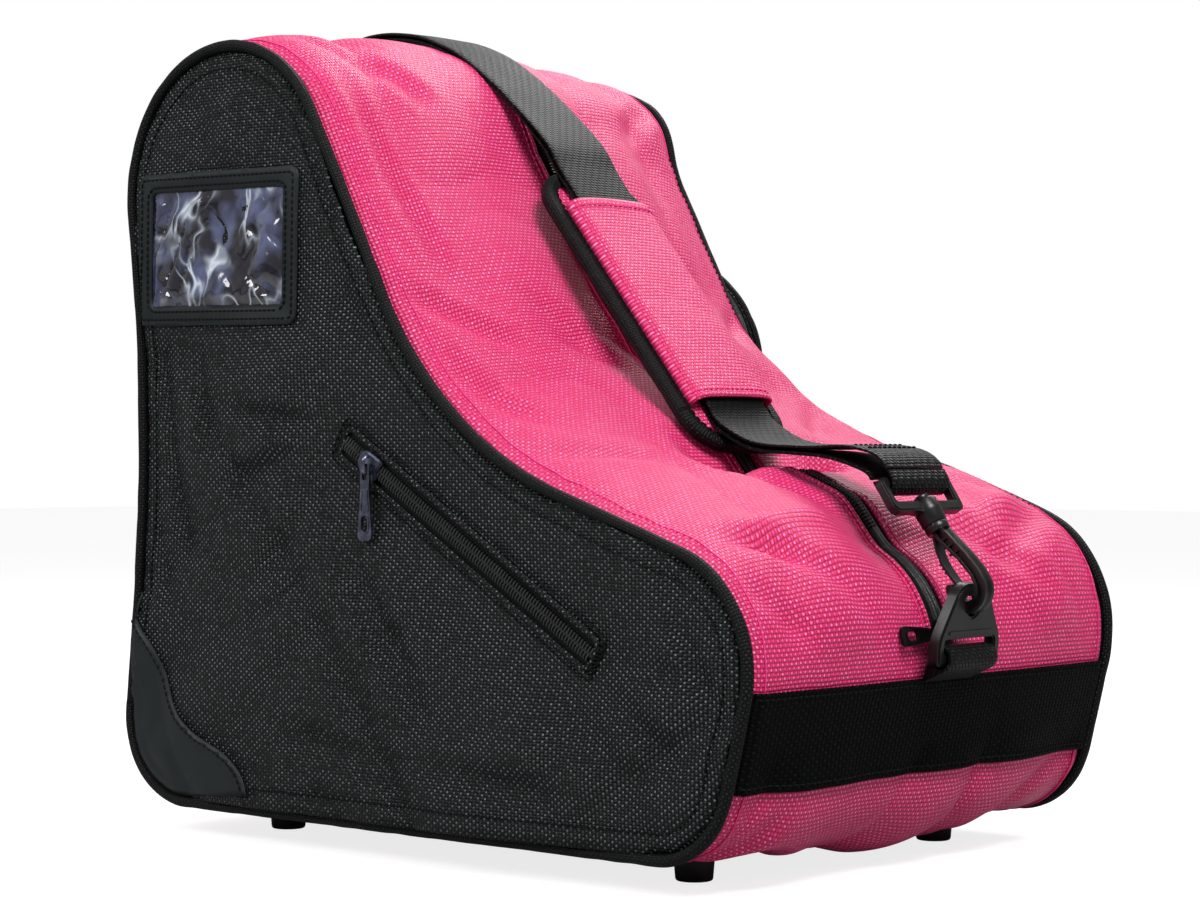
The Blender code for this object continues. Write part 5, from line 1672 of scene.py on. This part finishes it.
def swivel_frame(end, side, lean):
    """The frame that holds the strap, its barrel round the hook's stem, and a rib each side of that."""
    chain = chain_frame(ring_apex(side), lean, side)
    outer = rounded_box((0.0, 0.0440), (0.0470, 0.0160), 0.0034, 8)
    inner = rounded_box((0.0, 0.0443), (0.0396, 0.0074), 0.0014, 6)
    parts = Parts()
    parts.plate(outer, [inner], chain, -0.0017, 0.0017)
    parts.plate(shrunk(outer, 0.0008), [shrunk(inner, -0.0008)], chain, -0.0022, 0.0022)
    parts.add(*turned_ring(BARREL, along_chain(chain)))
    for hand in (-1, 1):
        rib = [(0.0050, 0.0352), (0.0130, 0.0366), (0.0130, 0.0380), (0.0050, 0.0400)]
        parts.plate(rounded([(hand * y, v) for y, v in rib], 0.0006, 3), [], chain, -0.0020, 0.0020)
    parts.put(f"{end}_frame_moulding", PLASTIC, f"{end}_swivel_frame", body=f"{end}_swivel", bevel=0.0004)


BAR_V, LOOP_IN, LOOP_END_V = 0.0500, 0.0034, 0.0535
LAYERS_APART, LAYERS_AT_CLIP = 0.00105, 0.0042


def strap_loop(end, side, lean):
    """The fold of the strap round the frame's outer bar."""
    place = across_chain(chain_frame(ring_apex(side), lean, side))
    middle = LOOP_IN + WEBBING / 2
    spine = [(-middle, LOOP_END_V), *arc((0.0, BAR_V), middle, -pi, 0.0, 20), (middle, LOOP_END_V)]
    spine = even_line(spine, 0.0008)
    line = np.array([place(w, v, 0.0) for w, v in spine])
    out = np.array([place(w, v, 0.0) for w, v in spine + path_normals(spine)]) - line
    ribbon(f"strap_{end}_loop_webbing", line, out, f"{end}_swivel", f"strap_{end}_loop")


# ---------------------------------------------------------------- strap and shoulder pad
def ribbon(name, line, out, body, nodes, waves=0, run0=0.0, joined=None):
    """A length of flat webbing with thinner selvages. out is the direction of its upper face."""
    ys = np.concatenate([[-1.0, -0.975], np.linspace(-0.93, 0.93, 13), [0.975, 1.0]]) * HALF_WEBBING
    half = WEBBING / 2 * (1 - 0.45 * smooth_step(np.abs(ys), HALF_WEBBING - 0.0012, HALF_WEBBING))
    round_ys = np.concatenate([ys, ys[::-1]])
    run = run0 + run_along(line)
    sway, rise = run * 0, np.zeros((len(line), len(ys)))
    if waves:
        sway = soft_noise(run / 0.05, run * 0, waves) * 0.0006
        cup = soft_noise(run / 0.035, run * 0, waves + 3) * 0.00045
        ripple = soft_noise(run[:, None] / 0.011 + 0 * ys, ys / 0.016 + 0 * run[:, None], waves + 5) * 0.00012
        rise = cup[:, None] * (ys / HALF_WEBBING) ** 2 + ripple
    points, cloth = [], []
    for k, way in enumerate(out):
        base = line[k] + np.outer(ys, (0, 1, 0)) + way * rise[k][:, None] + (0, sway[k], 0)
        lift = way * half[:, None]
        points += [base + lift, (base - lift)[::-1]]
        cloth.append(np.column_stack([np.full_like(round_ys, run[k]), round_ys, 0 * round_ys]))
    faces = capped_faces(len(line), len(round_ys))
    cloth = np.concatenate(cloth)
    put(name, np.concatenate(points), faces, WEB, nodes, body=body, cloth=cloth, sharp=70, joined=joined)


PAD_ALONG = np.array([cos(PAD_SLOPE), 0.0, -sin(PAD_SLOPE)])
PAD_OUT = np.array([sin(PAD_SLOPE), 0.0, cos(PAD_SLOPE)])


def on_pad(along, y, out):
    """Places a point of the shoulder pad, from the sleeve's upper end on the strap's middle line."""
    return np.array([PAD_START[0], y, PAD_START[1]]) + PAD_ALONG * along + PAD_OUT * out


def strap_points():
    """Points of the strap's middle line in the side view, from the front clip to the rear one."""
    front = chain_frame(ring_apex(1), FRONT_LEAN, 1)
    rear = chain_frame(ring_apex(-1), REAR_LEAN, -1)
    start = [front(0.0, LOOP_END_V + rise, 0.0) for rise in (0.0012, 0.0040)]
    rear_end = [rear(0.0, LOOP_END_V + rise, LAYERS_AT_CLIP - LAYERS_APART) for rise in (0.0060, 0.0012)]
    pad_line = [on_pad(along, 0.0, 0.0) for along in (0.124, 0.110, 0.075, 0.040, 0.005)]
    pad_line += [on_pad(-0.020, 0.0, 0.0004), on_pad(-0.036, 0.0, 0.0012)]
    over_foot = [(0.1555, 0.1640), (0.1410, 0.1668), (0.1180, 0.1680), (0.0965, 0.1700)]
    over_top = [(-0.0460, 0.3262), (-0.0765, 0.3470), (-0.1080, 0.3575), (-0.1420, 0.3560), (-0.1730, 0.3390)]
    behind = [(-0.1875, 0.3140), (REAR_RUN_X, 0.2830), (REAR_RUN_X, 0.2400), (REAR_RUN_X, 0.1950)]
    start, pad_line, rear_end = ([(p[0], p[2]) for p in part] for part in (start, pad_line, rear_end))
    return start + over_foot + pad_line + over_top + behind + rear_end


def smooth_path(points, steps_between):
    """Points on a smooth curve from the second point to the last but one."""
    fine = []
    for a, b, c, d in zip(points, points[1:], points[2:], points[3:]):
        for t in np.linspace(0, 1, steps_between, endpoint=False):
            fine.append(catmull_rom(a, b, c, d, t))
    return fine


def strap_line():
    """The strap's middle line at even steps, its outward directions, and the run from the front end."""
    points = strap_points()
    ends = np.array([points[0], *points, points[-1]])
    line = even_line([*smooth_path(ends, 24), ends[-1]], 0.0022)
    step = unit(np.gradient(line, axis=0))
    out = np.column_stack([step[:, 1], np.zeros(len(line)), -step[:, 0]])
    return np.column_stack([line[:, 0], np.zeros(len(line)), line[:, 1]]), out, run_along(line)


# Runs from the front end and from the rear end where the strap hands over to the next body.
FRONT_RUNS = (0.0040, 0.0240, 0.0480, 0.0900)
REAR_RUNS = (0.0040, 0.0130, 0.0240, 0.0430)


def nearest_at(run, at):
    return int(np.argmin(np.abs(run - at)))


def strap_layer(name, line, out, run, node, waves, last=None):
    """One layer of the strap. Each end is cut into pieces where it passes from the bag to the ring, the hook
    and the swivel.
    """
    near, first, second, third = (nearest_at(run, at) for at in FRONT_RUNS)
    pieces = [
        # tag, body, the body it joins, first and last point, and where the join starts and ends
        ("front_end", "front_hook", "front_swivel", 0, first, first, near),
        ("front_next", "front_ring", "front_hook", first, second, second, first),
        ("front_third", "bag", "front_ring", second, third, third, second),
    ]
    start = third
    if last is None:
        near, first, second, stop = (nearest_at(run[-1] - run, at) for at in REAR_RUNS)
        pieces += [
            ("rear_third", "bag", "rear_ring", stop, second, stop, second),
            ("rear_next", "rear_ring", "rear_hook", second, first, second, first),
            ("rear_end", "rear_hook", "rear_swivel", first, len(run) - 1, first, near),
        ]
    else:
        stop = nearest_at(run, run[last] - 0.0560)
        pieces.append(("tail", "bag", "strap_adjuster", stop, last, stop, last - 3))
    for tag, body, other, first, final, begin, end in pieces:
        part = slice(first, final + 1)
        joined = (other, line[begin], line[end])
        ribbon(f"{name}_{tag}", line[part], out[part], body, (), waves, run[first], joined)
    part = slice(start, stop + 1)
    ribbon(f"{name}_webbing", line[part], out[part], "bag", node, waves, run[start])


def strap():
    line, out, run = strap_line()
    flare = smooth_step(1.0 - run / 0.045, 0.0, 1.0)
    apart = LAYERS_APART + (LAYERS_AT_CLIP - LAYERS_APART) * flare
    upper, lower = line + out * apart[:, None], line - out * apart[:, None]
    strap_layer("strap_outer", upper, out, run, "strap_outer_layer", 101)
    last = int(np.argmax((line[:, 0] < -0.18) & (line[:, 2] < ADJUSTER_Z - 0.004)))
    strap_layer("strap_inner", lower, out, run, "strap_inner_layer", 107, last)
    joined = ("front_swivel", upper[nearest_at(run, FRONT_RUNS[1])], upper[nearest_at(run, FRONT_RUNS[0])])
    ys = steps(-0.0165, 0.0165, 0.002)
    for tag, at in (("low", 0.0100), ("high", 0.0170)):
        k = nearest_at(run, at)
        row = upper[k] + np.outer(ys, (0, 1, 0)) + out[k] * (WEBBING / 2 + 0.0001)
        stitch_row(f"strap_stitches_{tag}", row, out[k], slot="webbing", body="front_hook", joined=joined)


def adjuster():
    """A slide adjuster: a rounded frame round both layers, with a raised rim at each end and a raised rib
    round its middle.
    """
    outer = rounded_box((REAR_RUN_X, 0.0), (0.0090, 0.0480), 0.0030, 6)
    inner = rounded_box((REAR_RUN_X, 0.0), (0.0052, 0.0390), 0.0006, 3)
    thin_outer = rounded_box((REAR_RUN_X, 0.0), (0.0072, 0.0478), 0.0024, 5)
    parts = Parts()
    layers = [(outer, -0.0110, -0.0070), (outer, -0.0020, 0.0020), (outer, 0.0070, 0.0110)]
    layers.append((thin_outer, -0.0104, 0.0104))
    for shape, low, high in layers:
        parts.plate(shape, [inner], lambda x, y, z: (x, y, z), ADJUSTER_Z + low, ADJUSTER_Z + high)
    parts.put("strap_adjuster_moulding", PLASTIC, "strap_adjuster", body="strap_adjuster", bevel=0.0004)


def pad_outline(inset, radius=0.0200):
    length = SLEEVE_LENGTH + 2 * PAD_OVERHANG
    centre = (length / 2 - PAD_OVERHANG, 0.0)
    return rounded_box(centre, (length - 2 * inset, 2 * (PAD_HALF - inset)), max(radius - inset, 0.002), 9)


def pad_cushion():
    """The pad's foam core under pink cloth: crowned on both faces and pinched in at the binding."""
    rings = [(0.0052, 0.0), (0.0060, 0.30), (0.0075, 0.62), (0.0100, 0.86), (0.0140, 1.0), (0.0190, 1.04)]
    top, bottom = -0.0029, -0.0083
    half = (top - bottom) / 2
    loops = []
    for side, chosen in ((half, rings[::-1]), (-half, rings[1:])):
        for inset, rise in chosen:
            line = np.array(pad_outline(inset))
            wave = soft_noise(line[:, 0] / 0.022, line[:, 1] / 0.02, 121) * 0.00025
            height = (top + bottom) / 2 + side * rise + wave * rise
            loops.append(np.array([on_pad(u, v, h) for (u, v), h in zip(line, height)]))
    points = np.array(loops).reshape(-1, 3)
    faces = capped_faces(len(loops), len(loops[0]))
    cloth = np.column_stack([(points - on_pad(0, 0, 0)) @ PAD_ALONG, points[:, 1], np.zeros(len(points))])
    node = "shoulder_pad_base"
    made = put("pad_cushion_cloth", points, faces, PINK, node, body="shoulder_pad", cloth=cloth)


def pad_binding():
    """Woven tape folded over the pad's edge: a flattened tube with its row of stitches."""
    line = np.array(dense_ring(pad_outline(0.0032), 0.0020))
    centre = np.array([on_pad(u, v, -0.0056) for u, v in line])
    step = unit(np.roll(line, -1, 0) - np.roll(line, 1, 0))
    outward = step[:, 1:] * PAD_ALONG - step[:, :1] * (0.0, 1.0, 0.0)
    upper = [(0.0028, 0.0016), (0.0020, 0.0026), (0.0004, 0.0031), (-0.0018, 0.0031), (-0.0036, 0.0026)]
    section = [(0.0030, 0.0), *upper, *((reach, -height) for reach, height in reversed(upper))]
    points, cloth = [], []
    for middle, side, run in zip(centre, outward, run_along(centre)):
        swell = 1 + 0.06 * soft_noise(np.array(run / 0.006), np.array(0.0), 131)
        for j, (reach, height) in enumerate(section):
            points.append(middle + side * reach * swell + PAD_OUT * height * swell)
            cloth.append((run, j * 0.0013, 0.0))
    faces = grid_faces(len(centre), len(section), True, True)
    nodes = "shoulder_pad_binding"
    put("pad_binding_tape", points, faces, BINDING, nodes, body="shoulder_pad", cloth=cloth, sharp=60)
    stitched = [on_pad(u, v, -0.0027) for u, v in closed_line(pad_outline(0.0062))]
    stitch_row("pad_binding_stitches", stitched, PAD_OUT, slot="piping", body="shoulder_pad", radius=0.00032)


def pad_sleeve():
    """The open-ended cloth sleeve over the webbing, with a rolled hem and stitches at each end."""
    half, low = PAD_HALF - 0.0062, -0.0024
    arch = [(-half, low), (-half + 0.0003, 0.0004), (-half + 0.0022, 0.0026), (-0.0180, 0.0038)]
    arch.append((0.0, 0.0041))
    arch += [(-y, h) for y, h in reversed(arch[:-1])]
    section = even_line(rounded_path(arch), 0.0016)
    us = steps(0.0, SLEEVE_LENGTH, 0.0020)
    grid_u, grid_k = np.meshgrid(us, np.arange(len(section)), indexing="ij")
    y, height = section[grid_k, 0], section[grid_k, 1]
    end = np.minimum(grid_u, SLEEVE_LENGTH - grid_u)
    free = smooth_step(half - np.abs(y), 0.0015, 0.010)
    hem = 0.0005 * np.exp(-(((end - 0.0012) / 0.0014) ** 2))
    hem -= 0.0003 * np.exp(-(((end - 0.0048) / 0.0009) ** 2))
    wave = folds(grid_u, y, 0.040, 0.020, 1.2, 141) * 0.0007 * free
    height = height + hem + np.maximum(wave, -0.0006)
    points = on_pad(0, 0, 0) + grid_u[..., None] * PAD_ALONG + height[..., None] * PAD_OUT
    points[..., 1] += y
    cloth = np.stack([grid_u, y, np.zeros_like(y)], -1)
    faces = grid_faces(len(us), len(section))
    put(
        "pad_sleeve_cloth", points, faces, PINK, "shoulder_pad_sleeve", body="shoulder_pad",
        cloth=cloth, outward=PAD_OUT, thick=0.0010,
    )
    for tag, at in (("upper", 0.0048), ("lower", SLEEVE_LENGTH - 0.0048)):
        line = points[nearest_at(us, at), 2:-2] + PAD_OUT * 0.0002
        stitch_row(f"pad_sleeve_stitches_{tag}", line, PAD_OUT, PINK_THREAD, body="shoulder_pad")


# ---------------------------------------------------------------- studio
def camera():
    """The viewing angle of a product photograph: level, and turned 42 degrees towards the toe."""
    data = bpy.data.cameras.new("camera")
    data.lens, data.sensor_width = 87.0, 36.0
    made = bpy.data.objects.new("camera", data)
    made.location = (0.8485, -0.9463 + BAG_Y, 0.1680)
    made.rotation_euler = (radians(90), 0.0, radians(42))
    bpy.context.scene.collection.objects.link(made)
    bpy.context.scene.camera = made


def area_light(name, place, target, size, power):
    data = bpy.data.lights.new(name, "AREA")
    data.shape = "RECTANGLE"
    data.size, data.size_y = size
    data.energy = power
    made = bpy.data.objects.new(name, data)
    made.location = place
    made.rotation_euler = (Vector(target) - Vector(place)).to_track_quat("-Z", "Y").to_euler()
    bpy.context.scene.collection.objects.link(made)


# How bright the surroundings are for the bag, and how much the floor glows. Both look white to the camera.
WORLD_LIGHT, FLOOR_GLOW = 0.36, 0.80
def surroundings():
    world = bpy.data.worlds.new("studio")
    world.use_nodes = True
    nodes, links = world.node_tree.nodes, world.node_tree.links
    background = nodes["Background"]
    background.inputs[0].default_value = (1.0, 1.0, 1.0, 1.0)
    strength = nodes.new("ShaderNodeMapRange")
    strength.inputs["To Min"].default_value = WORLD_LIGHT
    links.new(nodes.new("ShaderNodeLightPath").outputs["Is Camera Ray"], strength.inputs["Value"])
    links.new(strength.outputs[0], background.inputs[1])
    bpy.context.scene.world = world
    bpy.context.scene.view_settings.view_transform = "Standard"


def floor_paper():
    floor = Nodes("floor_paper")
    soft = floor.noise(floor.body(), 3.0, 2.0)
    tone = floor.mix(soft, (0.36, 0.36, 0.36, 1), (0.38, 0.38, 0.38, 1))
    seen = floor.add("LightPath").outputs["Is Camera Ray"]
    glow = floor.ramp(seen, 0.0, 1.0, 0.0, FLOOR_GLOW)
    floor.set(Emission_Color=(1.0, 1.0, 1.0, 1.0), Emission_Strength=glow)
    return floor.set(Base_Color=tone, Roughness=0.9, Specular_IOR_Level=0.1)


def studio():
    surroundings()
    area_light("key", (1.00, -0.35, 1.55), (0.02, 0.0, 0.18), (0.8, 0.8), 37.0)
    area_light("left_softbox", (-0.55, -1.25, 1.10), (-0.05, -0.1, 0.2), (0.7, 0.7), 15.0)
    area_light("back", (-0.4, 1.1, 1.4), (0.0, 0.0, 0.25), (1.0, 0.8), 16.0)
    mesh = bpy.data.meshes.new("floor")
    reach = 6.0
    corners = [(-reach, -reach), (reach, -reach), (reach, reach), (-reach, reach)]
    mesh.from_pydata([(x, y, FLOOR_Z - 0.0002) for x, y in corners], [], [(0, 1, 2, 3)])
    mesh.materials.append(floor_paper())
    made = bpy.data.objects.new("floor", mesh)
    bpy.context.scene.collection.objects.link(made)


def hidden_hardware():
    """The base board and the rivets keep their CAD shape and get a finish with some detail."""
    finishes = {"base_board": BOARD, **{f"foot_rivet_{name}": STEEL for name in FOOT_NAMES}}
    for node, finish in finishes.items():
        materials = NODES[node].data.materials
        materials.clear()
        materials.append(finish)


def build():
    camera()
    studio()
    hidden_hardware()
    gusset()
    gusset_trim()
    bands()
    for name, side in SIDES:
        piping(f"piping_{name}_cover", side, f"piping_{name}")
    for name, side in SIDES:
        side_panel(f"side_panel_{name}_cloth", side, f"side_panel_{name}")
    panel_stitches()
    side_zip()
    main_zip()
    sliders()
    id_window()
    corner_patches()
    far_pocket()
    side_pouch()
    feet()
    for end, side, lean in (("front", 1, FRONT_LEAN), ("rear", -1, REAR_LEAN)):
        tab(end, side)
        triangle_ring(end, side)
        for make in (hook, gate, swivel_frame, strap_loop):
            make(end, side, lean)
    strap()
    adjuster()
    pad_cushion()
    pad_binding()
    pad_sleeve()


build()
